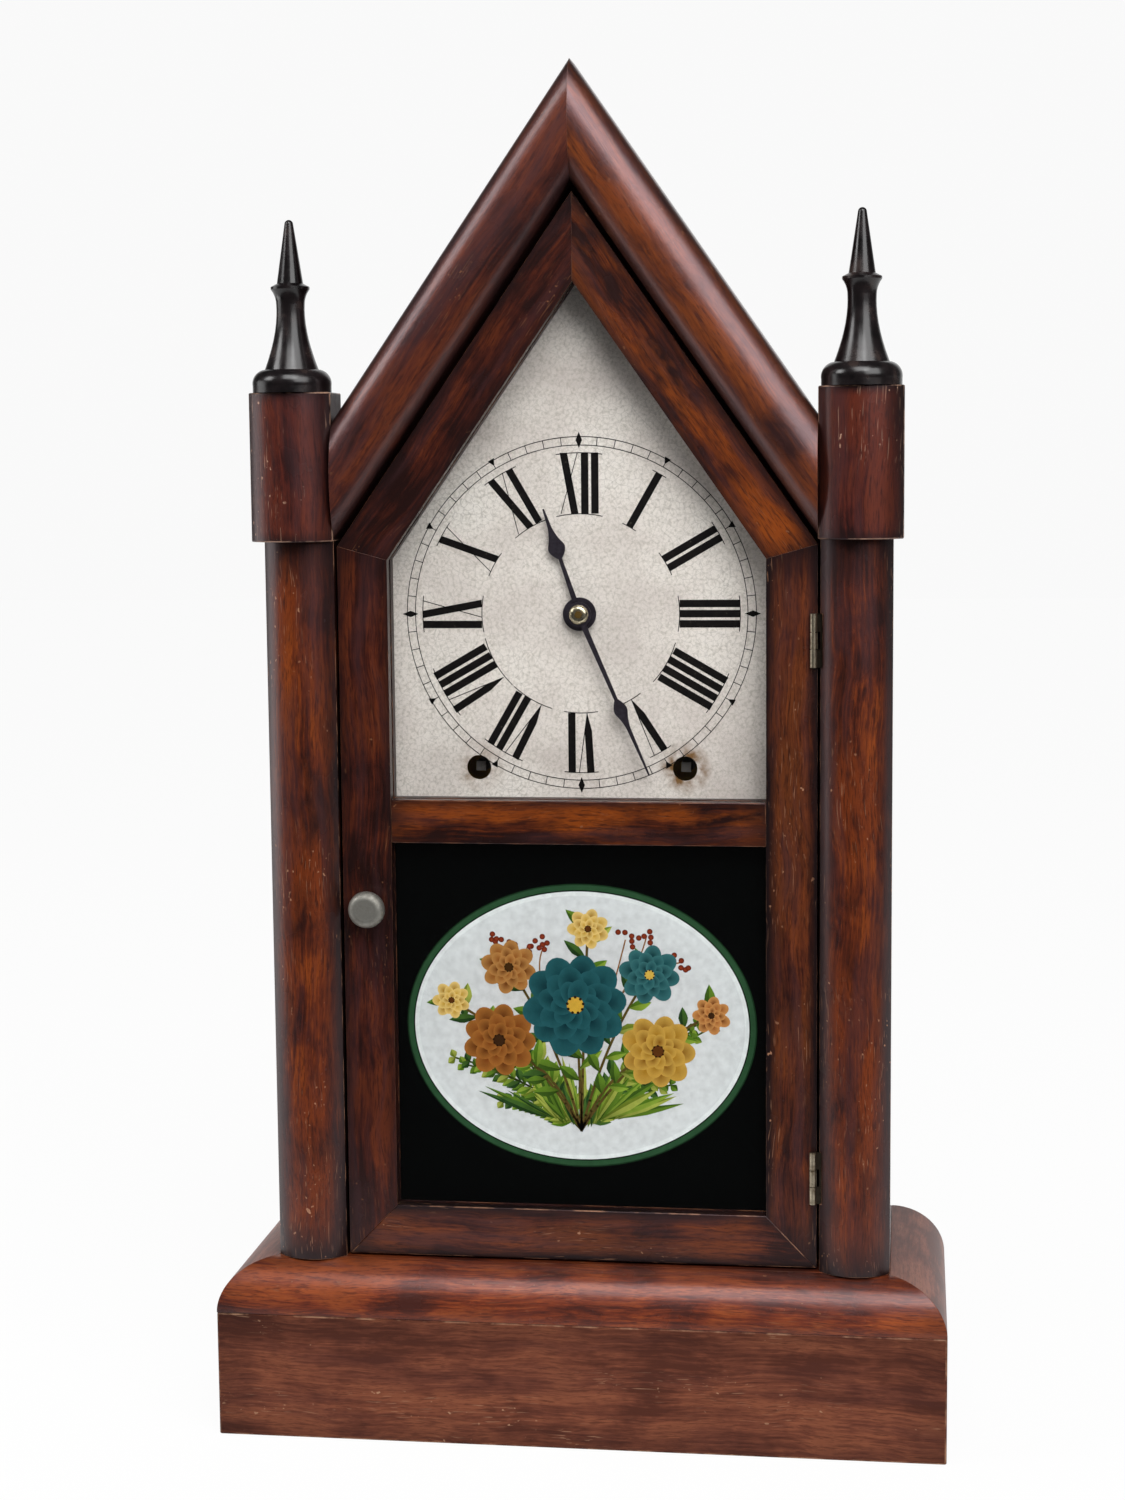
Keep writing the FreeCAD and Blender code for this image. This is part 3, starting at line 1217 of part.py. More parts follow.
base_front_y = backboard_front_y - gong_base_thickness
gong_base = block(-gong_base_width / 2, gong_base_width / 2, base_front_y, backboard_front_y,
                  gong_z - gong_base_height / 2, gong_z + gong_base_height / 2)
gong_base = gong_base.fuse(rod(0, gong_z, gong_post_radius, gong_y - gong_wire_radius - gong_post_over,
                               backboard_front_y))
for point in gong_screw_places:
    gong_base = drilled(gong_base, point, screw_radius + fit_gap, base_front_y, backboard_front_y)
save("gong_base", gong_base.removeSplitter().Solids[0])

gong_left_x = gong_start + gong_pitch * (gong_turns - 1 / 2) + gong_wire_radius - gong_pitch / 2
head_right_x = -gong_left_x - hammer_gap
head_left_x = hammer_stud_x - hammer_head_back
hammer = rod(hammer_stud_x, hammer_stud_z, hammer_hub_radius, hammer_front_y, hammer_back_y)
hammer = hammer.fuse(Part.makeCylinder(hammer_wire_radius, hammer_stud_z - gong_z,
                                       V(hammer_stud_x, gong_y, gong_z)))
hammer = hammer.fuse(Part.makeCylinder(hammer_head_radius, head_right_x - head_left_x,
                                       V(head_left_x, gong_y, gong_z), V(1, 0, 0)))
hammer = drilled(hammer, hammer_stud, hammer_stud_radius + running_gap, hammer_front_y, hammer_back_y)
save("hammer", hammer.removeSplitter().Solids[0])
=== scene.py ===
import math
import random

import bmesh
import bpy
from mathutils import Matrix, Vector


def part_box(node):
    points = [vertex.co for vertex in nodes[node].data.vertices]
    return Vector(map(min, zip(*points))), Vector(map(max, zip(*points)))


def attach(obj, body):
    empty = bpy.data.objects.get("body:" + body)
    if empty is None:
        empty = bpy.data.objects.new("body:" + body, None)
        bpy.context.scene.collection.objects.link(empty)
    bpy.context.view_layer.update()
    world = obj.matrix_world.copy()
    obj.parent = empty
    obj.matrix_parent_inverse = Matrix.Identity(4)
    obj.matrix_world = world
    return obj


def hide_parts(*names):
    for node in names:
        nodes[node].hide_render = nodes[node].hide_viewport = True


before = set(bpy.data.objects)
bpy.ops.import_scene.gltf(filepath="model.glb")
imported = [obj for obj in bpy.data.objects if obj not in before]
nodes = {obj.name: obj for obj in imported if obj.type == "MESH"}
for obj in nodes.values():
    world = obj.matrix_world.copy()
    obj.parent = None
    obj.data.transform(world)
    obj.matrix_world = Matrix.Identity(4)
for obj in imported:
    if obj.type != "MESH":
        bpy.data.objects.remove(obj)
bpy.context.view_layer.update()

scene = bpy.context.scene

# Base: a shallow plinth of softwood boards veneered in mahogany, the grain lying level, under a
# rounded moulding mitred at the front corners. Glued and nailed, then varnished, and long worn.
MM = 0.001


def linear(hex_colour):
    """An sRGB hex colour as the linear colour that a shader takes."""
    parts = [int(hex_colour[i:i + 2], 16) / 255 for i in (1, 3, 5)]
    return tuple(p / 12.92 if p <= 0.04045 else ((p + 0.055) / 1.055) ** 2.4 for p in parts) + (1.0,)


def add(tree, kind, inputs=(), **settings):
    """A shader node with its settings, its constants and the sockets that feed it."""
    made = tree.nodes.new(kind)
    for name, value in settings.items():
        setattr(made, name, value)
    for name, value in dict(inputs).items():
        if isinstance(value, bpy.types.NodeSocket):
            tree.links.new(value, made.inputs[name])
        else:
            made.inputs[name].default_value = value
    return made


def blank_material(name):
    """A new material with only its output, and the tree to fill."""
    material = bpy.data.materials.new(name)
    material.use_nodes = True
    material.node_tree.nodes.clear()
    return material, material.node_tree


def ramp(tree, fac, stops):
    """A colour ramp fed by a value, with its stops as places and hex colours."""
    made = add(tree, "ShaderNodeValToRGB", {"Fac": fac})
    while len(made.color_ramp.elements) < len(stops):
        made.color_ramp.elements.new(0.5)
    for element, (place, colour) in zip(made.color_ramp.elements, stops):
        element.position = place
        element.color = linear(colour)
    return made.outputs["Color"]


def tinted(tree, under, amount, colour):
    """A colour laid over another by an amount."""
    return add(tree, "ShaderNodeMix", {"Factor": amount, 6: under, 7: linear(colour)},
               data_type="RGBA").outputs[2]


def between(tree, value, low, high, start, end):
    """A value's way from a low level to a high one, as a change from a start to an end."""
    return add(tree, "ShaderNodeMapRange", {"Value": value, "From Min": low, "From Max": high,
                                            "To Min": start, "To Max": end}).outputs[0]


def times(tree, first, second):
    """The product of two values."""
    return add(tree, "ShaderNodeMath", {0: first, 1: second}, operation="MULTIPLY").outputs[0]


def clouds(tree, place, size_mm, detail, rough=0.5):
    """Soft noise with clouds of a real size."""
    return add(tree, "ShaderNodeTexNoise", {"Vector": place, "Scale": 1 / (size_mm * MM), "Detail": detail,
                                            "Roughness": rough}).outputs["Fac"]


# Varnished mahogany veneer: brown-red with soft figure, short dark flecks and open pores that lie along
# the grain, under thin uneven shellac that has rubbed pale along the arrises. The pores are drawn about
# twice as wide as real ones, so that they show.
def veneer(name, dark, mid, light, patch=None, worn="#7d5238", rubbed=0.6, stain=0.35, bloom=0.5, dirt_and_shade=0.75,
           shine=0.25, polish=0.45):
    """A veneer by its three wood colours, with how worn, stained, bloomed and glossy it is, and how dark
    its edges and ends go with grubbiness and painted shade.
    """
    material, tree = blank_material(name)
    grain = add(tree, "ShaderNodeAttribute", attribute_name="grain").outputs["Vector"]
    arris = add(tree, "ShaderNodeAttribute", attribute_name="arris").outputs["Fac"]
    drift = add(tree, "ShaderNodeTexNoise", {"Vector": grain, "Scale": 1 / (55 * MM), "Detail": 2.0})
    drift = add(tree, "ShaderNodeVectorMath", {0: drift.outputs["Color"], 1: (0.5, 0.5, 0.5)},
                operation="SUBTRACT")
    drift = add(tree, "ShaderNodeVectorMath", {0: drift.outputs[0], 1: (0, 9 * MM, 9 * MM)},
                operation="MULTIPLY")
    drift = add(tree, "ShaderNodeVectorMath", {0: grain, 1: drift.outputs[0]}, operation="ADD").outputs[0]

    def marks(along_mm, across_mm, detail, rough=0.55):
        """Noise drawn out along the grain: the length and the width of its marks."""
        size = (1 / (along_mm * MM), 1 / (across_mm * MM), 1 / (across_mm * MM))
        place = add(tree, "ShaderNodeVectorMath", {0: drift, 1: size}, operation="MULTIPLY").outputs[0]
        return add(tree, "ShaderNodeTexNoise", {"Vector": place, "Scale": 1.0, "Detail": detail,
                                                "Roughness": rough}).outputs["Fac"]

    def above(value, low, high, most):
        """How far a value lies between two levels, up to the most that it may give."""
        return between(tree, value, low, high, 0.0, most)

    figure, streak = marks(80, 8, 3.0), marks(30, 1.1, 4.0, 0.62)
    fleck, pore = marks(8, 0.9, 2.0), marks(4, 0.35, 1.0)
    cloud, blotch = marks(34, 26, 4.0, 0.6), marks(60, 21, 5.0, 0.62)
    tone = add(tree, "ShaderNodeMix", {"Factor": 0.5, 2: figure, 3: streak}).outputs[0]
    tone = add(tree, "ShaderNodeMix", {"Factor": 0.45, 2: tone, 3: cloud}).outputs[0]
    colour = ramp(tree, tone, [(0.43, dark), (0.5, mid), (0.57, light)])
    if patch:
        colour = tinted(tree, colour, above(blotch, 0.46, 0.6, 0.8), patch)
    colour = tinted(tree, colour, above(fleck, 0.53, 0.68, 0.65), dark)
    pores = above(pore, 0.56, 0.68, 0.5)
    colour = tinted(tree, colour, pores, dark)
    colour = tinted(tree, colour, above(cloud, 0.52, 0.7, stain), dark)
    colour = tinted(tree, colour, above(marks(70, 7, 3.0), 0.48, 0.64, bloom), "#3b2426")
    span = add(tree, "ShaderNodeAttribute", attribute_name="span").outputs["Vector"]
    span = add(tree, "ShaderNodeVectorMath", {0: span}, operation="ABSOLUTE").outputs[0]
    span = add(tree, "ShaderNodeSeparateXYZ", {0: span}).outputs
    # Darker along the sides and towards the ends of each board: partly grubbiness, partly painted shade for
    # the crevices between parts and the shade under the caps.
    for place, start in ((span["X"], 0.86), (span["Y"], 0.5)):
        dirt_and_shade_mask = times(tree, above(place, start, 1.02, 2 * dirt_and_shade), blotch)
        colour = tinted(tree, colour, dirt_and_shade_mask, "#120b0b")
    nick = above(marks(2.4, 1.8, 1.0), 0.72, 0.76, 0.8)
    scuff = above(marks(11, 0.5, 1.0), 0.66, 0.7, 0.4)
    for mark in (nick, scuff):
        colour = tinted(tree, colour, times(tree, mark, above(blotch, 0.5, 0.6, 1.0)), worn)
    rub = times(tree, above(marks(9, 9, 3.0), 0.45, 0.62, rubbed), arris)
    colour = tinted(tree, colour, rub, worn)
    height = add(tree, "ShaderNodeMath", {0: streak, 1: pores}, operation="SUBTRACT").outputs[0]
    bump = add(tree, "ShaderNodeBump", {"Height": height, "Strength": 0.3, "Distance": 0.12 * MM})
    dulled = between(tree, cloud, 0.3, 0.7, 0.32, 0.16)
    surface = add(tree, "ShaderNodeBsdfPrincipled", {
        "Base Color": colour, "Roughness": 0.38, "Specular IOR Level": polish,
        "Specular Tint": linear("#efbac0"), "Coat Weight": shine, "Coat Roughness": dulled,
        "Normal": bump.outputs[0]})
    add(tree, "ShaderNodeOutputMaterial", {"Surface": surface.outputs[0]})
    return material


WELD = 0.002 * MM
INSIDE = 0.05 * MM
FLAT = math.radians(0.3)
CREASE = math.radians(30)
GRAIN_START = 0.7


def separate(bm):
    """The separate solids of a mesh, each as a list of its vertices."""
    left = set(bm.verts)
    while left:
        solid = [left.pop()]
        for vert in solid:
            fresh = {edge.other_vert(vert) for edge in vert.link_edges} & left
            left -= fresh
            solid.extend(sorted(fresh, key=lambda other: other.index))
        yield solid


def eased(node, body, materials, arris_mm, along):
    """A wooden piece with its arrises rubbed round, which knows the run of its grain."""
    source = nodes[node].data.copy()
    if "custom_normal" in source.attributes:
        source.attributes.remove(source.attributes["custom_normal"])
    bm = bmesh.new()
    bm.from_mesh(source)
    bpy.data.meshes.remove(source)
    rubbed = bm.faces.layers.float.new("arris")
    board = bm.faces.layers.int.new("board")
    grain = bm.loops.layers.float_vector.new("grain")
    span = bm.loops.layers.float_vector.new("span")
    bm.normal_update()
    boards = {}
    for face in bm.faces:
        run = tuple(along(face.calc_center_median() - face.normal * INSIDE))
        boards.setdefault(run, []).append(face)
    boards = dict(sorted(boards.items()))
    for number, faces in enumerate(boards.values()):
        for face in faces:
            face[board] = number
            face.material_index = number % len(materials)
    for number in range(len(boards)):
        bmesh.ops.split(bm, geom=[face for face in bm.faces if face[board] == number])
        verts = [vert for vert in bm.verts if any(face[board] == number for face in vert.link_faces)]
        bmesh.ops.remove_doubles(bm, verts=verts, dist=WELD)
    bmesh.ops.dissolve_limit(bm, angle_limit=FLAT, verts=bm.verts, edges=bm.edges)
    for face in bm.faces:
        bends = [edge.calc_face_angle(0) for edge in face.edges if edge.is_manifold]
        face.smooth = any(FLAT < bend < CREASE for bend in bends)
    sharp = [edge for edge in bm.edges if edge.is_manifold and edge.calc_face_angle(0) > CREASE]
    cut = bmesh.ops.bevel(bm, geom=sharp, offset=arris_mm * MM, offset_type="OFFSET", segments=3,
                          profile=0.5, affect="EDGES", material=-1, clamp_overlap=True)
    for face in cut["faces"]:
        face[rubbed] = 1.0
        face.smooth = True
    for edge in bm.edges:
        if len({face[rubbed] for face in edge.link_faces}) > 1:
            edge.smooth = False
    runs = [Vector(run).normalized() for run in boards]
    for solid in separate(bm):
        run = runs[solid[0].link_faces[0][board]]
        depth = Vector((1, 0, 0)) if abs(run.y) > 0.9 else Vector((0, 1, 0))
        axes = Matrix((run, run.cross(depth), depth))
        spots = {vert: axes @ vert.co for vert in solid}
        low, high = ([end(spot[k] for spot in spots.values()) for k in range(3)] for end in (min, max))
        for vert, spot in spots.items():
            for loop in vert.link_loops:
                loop[grain] = spot + run * GRAIN_START
                loop[span] = [2 * (spot[k] - low[k]) / (high[k] - low[k]) - 1 for k in range(3)]
    made = bpy.data.meshes.new(node + "_eased")
    bm.to_mesh(made)
    bm.free()
    for material in materials:
        made.materials.append(material)
    piece = bpy.data.objects.new(node + "_eased", made)
    scene.collection.objects.link(piece)
    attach(piece, body)
    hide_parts(node)


def level(middle):
    """Grain that lies level, from side to side."""
    return (1, 0, 0)


def upright(middle):
    """Grain that stands up."""
    return (0, 0, 1)


def front_to_back(middle):
    """Grain that runs from front to back."""
    return (0, 1, 0)


base_veneer = veneer("mahogany_veneer_base", "#4a281d", "#673a2a", "#7e4a34", worn="#ab8468", stain=0.3,
                     bloom=0.15, dirt_and_shade=0.35, shine=0.0, polish=0.15)
moulding_veneer = veneer("mahogany_veneer_base_moulding", "#3c190f", "#6f3018", "#964a22", rubbed=0.4,
                         bloom=0.2, dirt_and_shade=0.4, shine=0.45)
# The side returns of the moulding are paler and pinker than its front and have no gloss: a painted sheen in
# place of the soft reflection that lies on them.
sheen_painted_return_veneer = veneer("mahogany_veneer_base_returns_painted_sheen", "#5a3025", "#7b4636", "#915a45", rubbed=0.4,
                       bloom=0.0, dirt_and_shade=0.3, shine=0.0, polish=0.2)
mitre_x, mitre_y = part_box("base_top_board")[1].x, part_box("base_top_board")[0].y
corner_x, corner_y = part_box("base_mouldings")[1].x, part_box("base_mouldings")[0].y


def round_the_base(middle):
    """Grain along the front moulding, and front to back along the side ones, as far as the mitres."""
    beyond_side = (abs(middle.x) - mitre_x) / (corner_x - mitre_x)
    beyond_front = (middle.y - mitre_y) / (corner_y - mitre_y)
    return front_to_back(middle) if beyond_side > beyond_front else level(middle)


eased("base_front", "case", [base_veneer], 0.7, level)
eased("base_sides", "case", [base_veneer], 0.7, front_to_back)
eased("base_mouldings", "case", [sheen_painted_return_veneer, moulding_veneer], 0.4, round_the_base)
eased("base_top_board", "case", [moulding_veneer], 0.3, level)

# Case: softwood sides, stiles, gable rails and two roof boards, veneered and stained dark where they
# show, nailed and glued. The bottom, the back and the battens that carry the dial are plain pine.
GABLE_RUN_SHARE = 0.697
case_veneer = veneer("mahogany_veneer_case", "#160b08", "#2d150e", "#411e13", stain=0.6, shine=0.0,
                     polish=0.25)


def down_the_slope(middle):
    """Grain that runs down the gable, on its own side of the middle."""
    return (math.copysign(GABLE_RUN_SHARE, middle.x), 0, -1)


eased("case_sides", "case", [case_veneer], 0.5, upright)
eased("front_stiles", "case", [case_veneer], 0.4, upright)
eased("gable_rails", "case", [case_veneer], 0.4, down_the_slope)
eased("roof_boards", "case", [case_veneer], 0.8, front_to_back)

# Bare pine, browned by age.
pine = veneer("bare_pine", "#8b6d4b", "#a1805a", "#b29166", worn="#c9a983", stain=0.1, bloom=0.0, dirt_and_shade=0.15,
              shine=0.0, polish=0.1)
for node in ("bottom_board", "base_back_rail"):
    eased(node, "case", [pine], 0.5, level)
eased("backboard", "case", [pine], 0.5, upright)
eased("dial_battens", "case", [pine], 0.3, upright)

# Movement: stamped brass plates and wheels on steel arbors, held by four pillars and screwed through
# feet to the backboard, with two open mainsprings. All of it bare metal, dulled by age.
def dress(material, *names):
    """Give pieces that keep their own form a better finish."""
    for name in names:
        nodes[name].data.materials.clear()
        nodes[name].data.materials.append(material)


def bare_metal(name, colour, tarnish, rough, patch_mm=9, tarnished=0.6, painted_shade_mm=None):
    """A metal with soft patches of tarnish, and painted shade taking it to near black between two depths
    where they are given.
    """
    material, tree = blank_material(name)
    place = add(tree, "ShaderNodeTexCoord").outputs["Object"]
    patch = clouds(tree, place, patch_mm, 5.0, 0.65)
    tint = tinted(tree, linear(colour), between(tree, patch, 0.4, 0.65, 0.0, tarnished), tarnish)
    if painted_shade_mm:
        shade_from, shade_full = painted_shade_mm
        # Painted shade: the colour goes near black between the two depths, as in a shaded recess.
        depth = add(tree, "ShaderNodeSeparateXYZ", {0: place}).outputs["Y"]
        painted_shade = between(tree, depth, shade_from * MM, shade_full * MM, 0.0, 0.92)
        tint = tinted(tree, tint, painted_shade, "#1c1410")
    dull = between(tree, patch, 0.35, 0.7, rough, rough + 0.2)
    surface = add(tree, "ShaderNodeBsdfPrincipled", {"Base Color": tint, "Metallic": 1.0,
                                                     "Roughness": dull})
    add(tree, "ShaderNodeOutputMaterial", {"Surface": surface.outputs[0]})
    return material


# Rolled brass with a brown tarnish; bright-drawn steel gone grey; blued spring steel; rough black iron.
brass = bare_metal("tarnished_brass", "#b8934f", "#6b5230", 0.3)
steel = bare_metal("dull_steel", "#9a9793", "#5c5651", 0.35)
blued = bare_metal("blued_spring_steel", "#2b2f3c", "#1b1716", 0.35)
iron = bare_metal("black_cast_iron", "#2a2a2a", "#1c1a18", 0.6, patch_mm=4)
dress(brass, "front_plate", "back_plate", "time_main_wheel", "second_wheel", "centre_wheel")
dress(brass, "third_wheel", "escape_wheel", "cannon_pinion", "minute_wheel", "hour_wheel")
dress(brass, "strike_main_wheel", "strike_pin_wheel", "pendulum_bob", "suspension_post")
dress(steel, "pillars", "movement_feet", "wood_screws", "time_winding_arbor", "strike_winding_arbor")
dress(steel, "verge", "pendulum_rod", "hammer")
dress(blued, "mainsprings", "gong")
dress(iron, "gong_base")

# Dial: a thin zinc plate painted cream, gone finely crazed and grubby, pinned to battens. The figures,
# the minute ring and its marks are printed on it in black.
dial_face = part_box("dial_plate")[0].y


def facing(node):
    """The middle of a round piece, brought forward to the face of the dial."""
    low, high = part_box(node)
    return Vector(((low.x + high.x) / 2, dial_face, (low.z + high.z) / 2))


dial_centre = facing("hand_nut")
hole_places = sorted((facing("time_winding_arbor"), facing("strike_winding_arbor")),
                     key=lambda hole: hole.x)

# Cream oil paint on zinc: soft clouds of dirt, a net of fine cracks and rusty rings at the holes. The
# cracks are drawn wider than real ones, so that they show.
dial_paint, tree = blank_material("crazed_cream_dial_paint")
place = add(tree, "ShaderNodeTexCoord").outputs["Object"]
cloud = clouds(tree, place, 30, 5.0)
colour = ramp(tree, cloud, [(0.3, "#d6cdc6"), (0.5, "#e8e1d9"), (0.7, "#efeae2")])
colour = tinted(tree, colour, between(tree, clouds(tree, place, 1.1, 4.0), 0.45, 0.75, 0.0, 0.6), "#a9a294")
net = add(tree, "ShaderNodeTexVoronoi", {"Vector": place, "Scale": 1 / (2.6 * MM)},
          feature="DISTANCE_TO_EDGE").outputs["Distance"]
colour = tinted(tree, colour, times(tree, between(tree, net, 0.0, 0.06, 0.5, 0.0), cloud), "#6e675c")
rust = between(tree, clouds(tree, place, 5, 4.0), 0.38, 0.7, 0.0, 1.0)
for hole, strength in zip(hole_places, (0.8, 1.9)):
    away = add(tree, "ShaderNodeVectorMath", {0: place, 1: hole}, operation="DISTANCE").outputs["Value"]
    ring = times(tree, between(tree, away, 4 * MM, 10.5 * MM, strength, 0.0), rust)
    colour = tinted(tree, colour, ring, "#7d5a30")
bump = add(tree, "ShaderNodeBump", {"Height": cloud, "Strength": 0.15, "Distance": 0.2 * MM})
surface = add(tree, "ShaderNodeBsdfPrincipled", {"Base Color": colour, "Roughness": 0.55,
                                                 "Normal": bump.outputs[0]})
add(tree, "ShaderNodeOutputMaterial", {"Surface": surface.outputs[0]})
dress(dial_paint, "dial_plate")
dress(brass, "dial_pins")

# Black printing ink, worn thin in places.
ink, tree = blank_material("black_dial_ink")
place = add(tree, "ShaderNodeTexCoord").outputs["Object"]
colour = ramp(tree, clouds(tree, place, 2, 4.0), [(0.4, "#0a0808"), (0.68, "#14110f"), (0.82, "#5d574e")])
surface = add(tree, "ShaderNodeBsdfPrincipled", {"Base Color": colour, "Roughness": 0.6,
                                                 "Specular IOR Level": 0.1})
add(tree, "ShaderNodeOutputMaterial", {"Surface": surface.outputs[0]})

INK_LIFT = 0.05
RING_OUT, RING_IN, RING_LINE = 65.3, 62.2, 0.3
WEDGE_INSET, WEDGE_OVER, WEDGE_WIDE = 1.1, 0.6, 2.7
DIAMOND_HALF_WIDE, DIAMOND_HALF_TALL, DIAMOND_SHIFT = 1.2, 3.0, 0.3
FIGURE_OUT, FIGURE_IN = 59.4, 37.0
STROKE, HAIR, GAP = 2.75, 0.32, 1.0
SIGN_STROKES = {"I": 1.0, "V": 2.2, "X": 2.5}
SERIF_STROKES, FOOT_STROKES = 0.55, 0.95
POINT_SHARE = 0.3
figures = "XII I II III IIII V VI VII VIII IX X XI".split()
print_bm = bmesh.new()


def on_dial(turn):
    """The dial's own frame, turned clockwise: across, out of the dial and away from its middle."""
    return Matrix.Translation(dial_centre - Vector((0, INK_LIFT * MM, 0))) @ Matrix.Rotation(turn, 4, "Y")


def flat(turn, middle, across, out):
    """A matrix that lays a unit shape on the dial: its middle, its right arm and its upper arm."""
    shape = Matrix.Identity(4)
    shape.col[0] = (across[0] * MM, 0, across[1] * MM, 0)
    shape.col[1] = (out[0] * MM, 0, out[1] * MM, 0)
    shape.col[2] = (0, -1, 0, 0)
    shape.col[3] = (middle[0] * MM, 0, middle[1] * MM, 1)
    return on_dial(turn) @ shape


def bar(turn, start, end, width):
    """A printed stroke between two places (across, out), its ends square to the radius."""
    middle = ((start[0] + end[0]) / 2, (start[1] + end[1]) / 2)
    shape = flat(turn, middle, (width, 0), (end[0] - start[0], end[1] - start[1]))
    bmesh.ops.create_grid(print_bm, x_segments=1, y_segments=1, size=0.5, matrix=shape)


def wedge(turn, point, broad, width):
    """A printed wedge from its point to the middle of its broad end."""
    middle = ((point[0] + 2 * broad[0]) / 3, (point[1] + 2 * broad[1]) / 3)
    shape = flat(turn, middle, (width / 3 ** 0.5, 0), (point[0] - middle[0], point[1] - middle[1]))
    bmesh.ops.create_circle(print_bm, cap_ends=True, segments=3, radius=1.0, matrix=shape)


def arc(turn, out, width, sweep, steps):
    """A printed line that follows the dial round."""
    ends = [print_bm.verts.new(on_dial(turn - sweep / 2) @ Vector((0, 0, (out + k * width / 2) * MM)))
            for k in (-1, 1)]
    edge = print_bm.edges.new(ends)
    bmesh.ops.spin(print_bm, geom=[edge] + ends, cent=dial_centre, axis=(0, 1, 0), angle=sweep, steps=steps,
                   use_merge=sweep > 6)


for line in (RING_OUT, RING_IN):
    arc(0, line, RING_LINE, 2 * math.pi, 180)
for minute in range(60):
    if minute % 15:
        bar(minute * math.pi / 30, (0, RING_IN), (0, RING_OUT), RING_LINE)
for hour, figure in enumerate(figures):
    turn = hour * math.pi / 6
    if hour % 3:
        wedge(turn, (0, RING_IN + WEDGE_INSET), (0, RING_OUT + WEDGE_OVER), WEDGE_WIDE)
    else:
        shape = flat(turn, (0, (RING_IN + RING_OUT) / 2 + DIAMOND_SHIFT), (DIAMOND_HALF_WIDE, 0),
                     (0, DIAMOND_HALF_TALL))
        bmesh.ops.create_circle(print_bm, cap_ends=True, segments=4, radius=1.0, matrix=shape)
    widths = [SIGN_STROKES[sign] * STROKE for sign in figure]
    across = -(sum(widths) + GAP * (len(figure) - 1)) / 2
    spread = -across + SERIF_STROKES * STROKE
    for out in (FIGURE_OUT, FIGURE_IN):
        arc(turn, out, HAIR, 2 * spread / out, 6)
    for sign, width in zip(figure, widths):
        left, right = across + STROKE / 2, across + width - STROKE / 2
        if sign == "I":
            bar(turn, (left, FIGURE_IN), (left, FIGURE_OUT), STROKE)
        if sign == "X":
            bar(turn, (right, FIGURE_IN), (left, FIGURE_OUT), STROKE)
            bar(turn, (across + HAIR, FIGURE_IN), (across + width - HAIR, FIGURE_OUT), HAIR)
        if sign == "V":
            foot = across + FOOT_STROKES * STROKE
            swell = (foot + (left - foot) * POINT_SHARE,
                     FIGURE_IN + (FIGURE_OUT - FIGURE_IN) * POINT_SHARE)
            wedge(turn, (foot, FIGURE_IN), swell, STROKE)
            bar(turn, swell, (left, FIGURE_OUT), STROKE)
            bar(turn, (foot, FIGURE_IN), (across + width - HAIR, FIGURE_OUT), HAIR)
        across += width + GAP


def finished(bm, name, body, material):
    """Turn a bmesh into a piece that rides a body."""
    made = bpy.data.meshes.new(name)
    bm.to_mesh(made)
    bm.free()
    made.materials.append(material)
    piece = bpy.data.objects.new(name, made)
    scene.collection.objects.link(piece)
    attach(piece, body)


finished(print_bm, "dial_print", "case", ink)

# Hands: spade hands, filed from steel sheet and blackened. They are pushed on the pipe of the hour
# wheel and the post of the cannon pinion, under a small domed nut of brass.
hand_black = bare_metal("blackened_steel_hands", "#4c4650", "#1f1b1e", 0.42, patch_mm=5)
nut_brass = bare_metal("worn_brass_nut", "#d9cfb2", "#948a70", 0.2, patch_mm=2)
dress(hand_black, "hour_hand", "minute_hand")
dress(nut_brass, "hand_nut")

# Columns and caps: bowed softwood blocks veneered upright, glued to the stiles. The caps are a
# little wider than the columns that carry them.
column_veneer = veneer("mahogany_veneer_column", "#220c07", "#54220f", "#853e13", patch="#6f300f",
                       worn="#a5785c", rubbed=0.8, dirt_and_shade=1.1, shine=0.35)
cap_veneer = veneer("mahogany_veneer_cap", "#1f0c0b", "#491d16", "#632b18", patch="#5c2615",
                    worn="#c09880", dirt_and_shade=1.0, shine=0.35)
eased("columns", "case", [column_veneer], 0.5, upright)
eased("caps", "case", [cap_veneer], 0.5, upright)

# Gable mouldings: half-round strips of softwood, veneered along their length and polished. They are
# mitred at the apex and glued over the gable rails, down to the caps.
gable_veneers = (
    veneer("mahogany_veneer_gable_left", "#230e0b", "#4c2013", "#662f16", polish=0.7, shine=0.4),
    veneer("mahogany_veneer_gable_right", "#260f09", "#522611", "#7d3e15", patch="#7b3a11", polish=1.0,
           shine=0.5))
eased("gable_mouldings", "case", gable_veneers, 0.3, down_the_slope)

# Finials: hardwood, each turned in one piece and stained black under varnish, then pegged into the
# top of its cap.
finial_black, tree = blank_material("ebonised_turned_wood")
place = add(tree, "ShaderNodeTexCoord").outputs["Object"]
rub = clouds(tree, place, 7, 5.0)
colour = ramp(tree, rub, [(0.35, "#0d0a0b"), (0.58, "#1c1617"), (0.75, "#362b28")])
rough = between(tree, rub, 0.0, 1.0, 0.12, 0.36)
bump = add(tree, "ShaderNodeBump", {"Height": rub, "Strength": 0.2, "Distance": 0.2 * MM})
surface = add(tree, "ShaderNodeBsdfPrincipled", {"Base Color": colour, "Roughness": rough,
                                                 "Normal": bump.outputs[0]})
add(tree, "ShaderNodeOutputMaterial", {"Surface": surface.outputs[0]})
dress(finial_black, "finials")

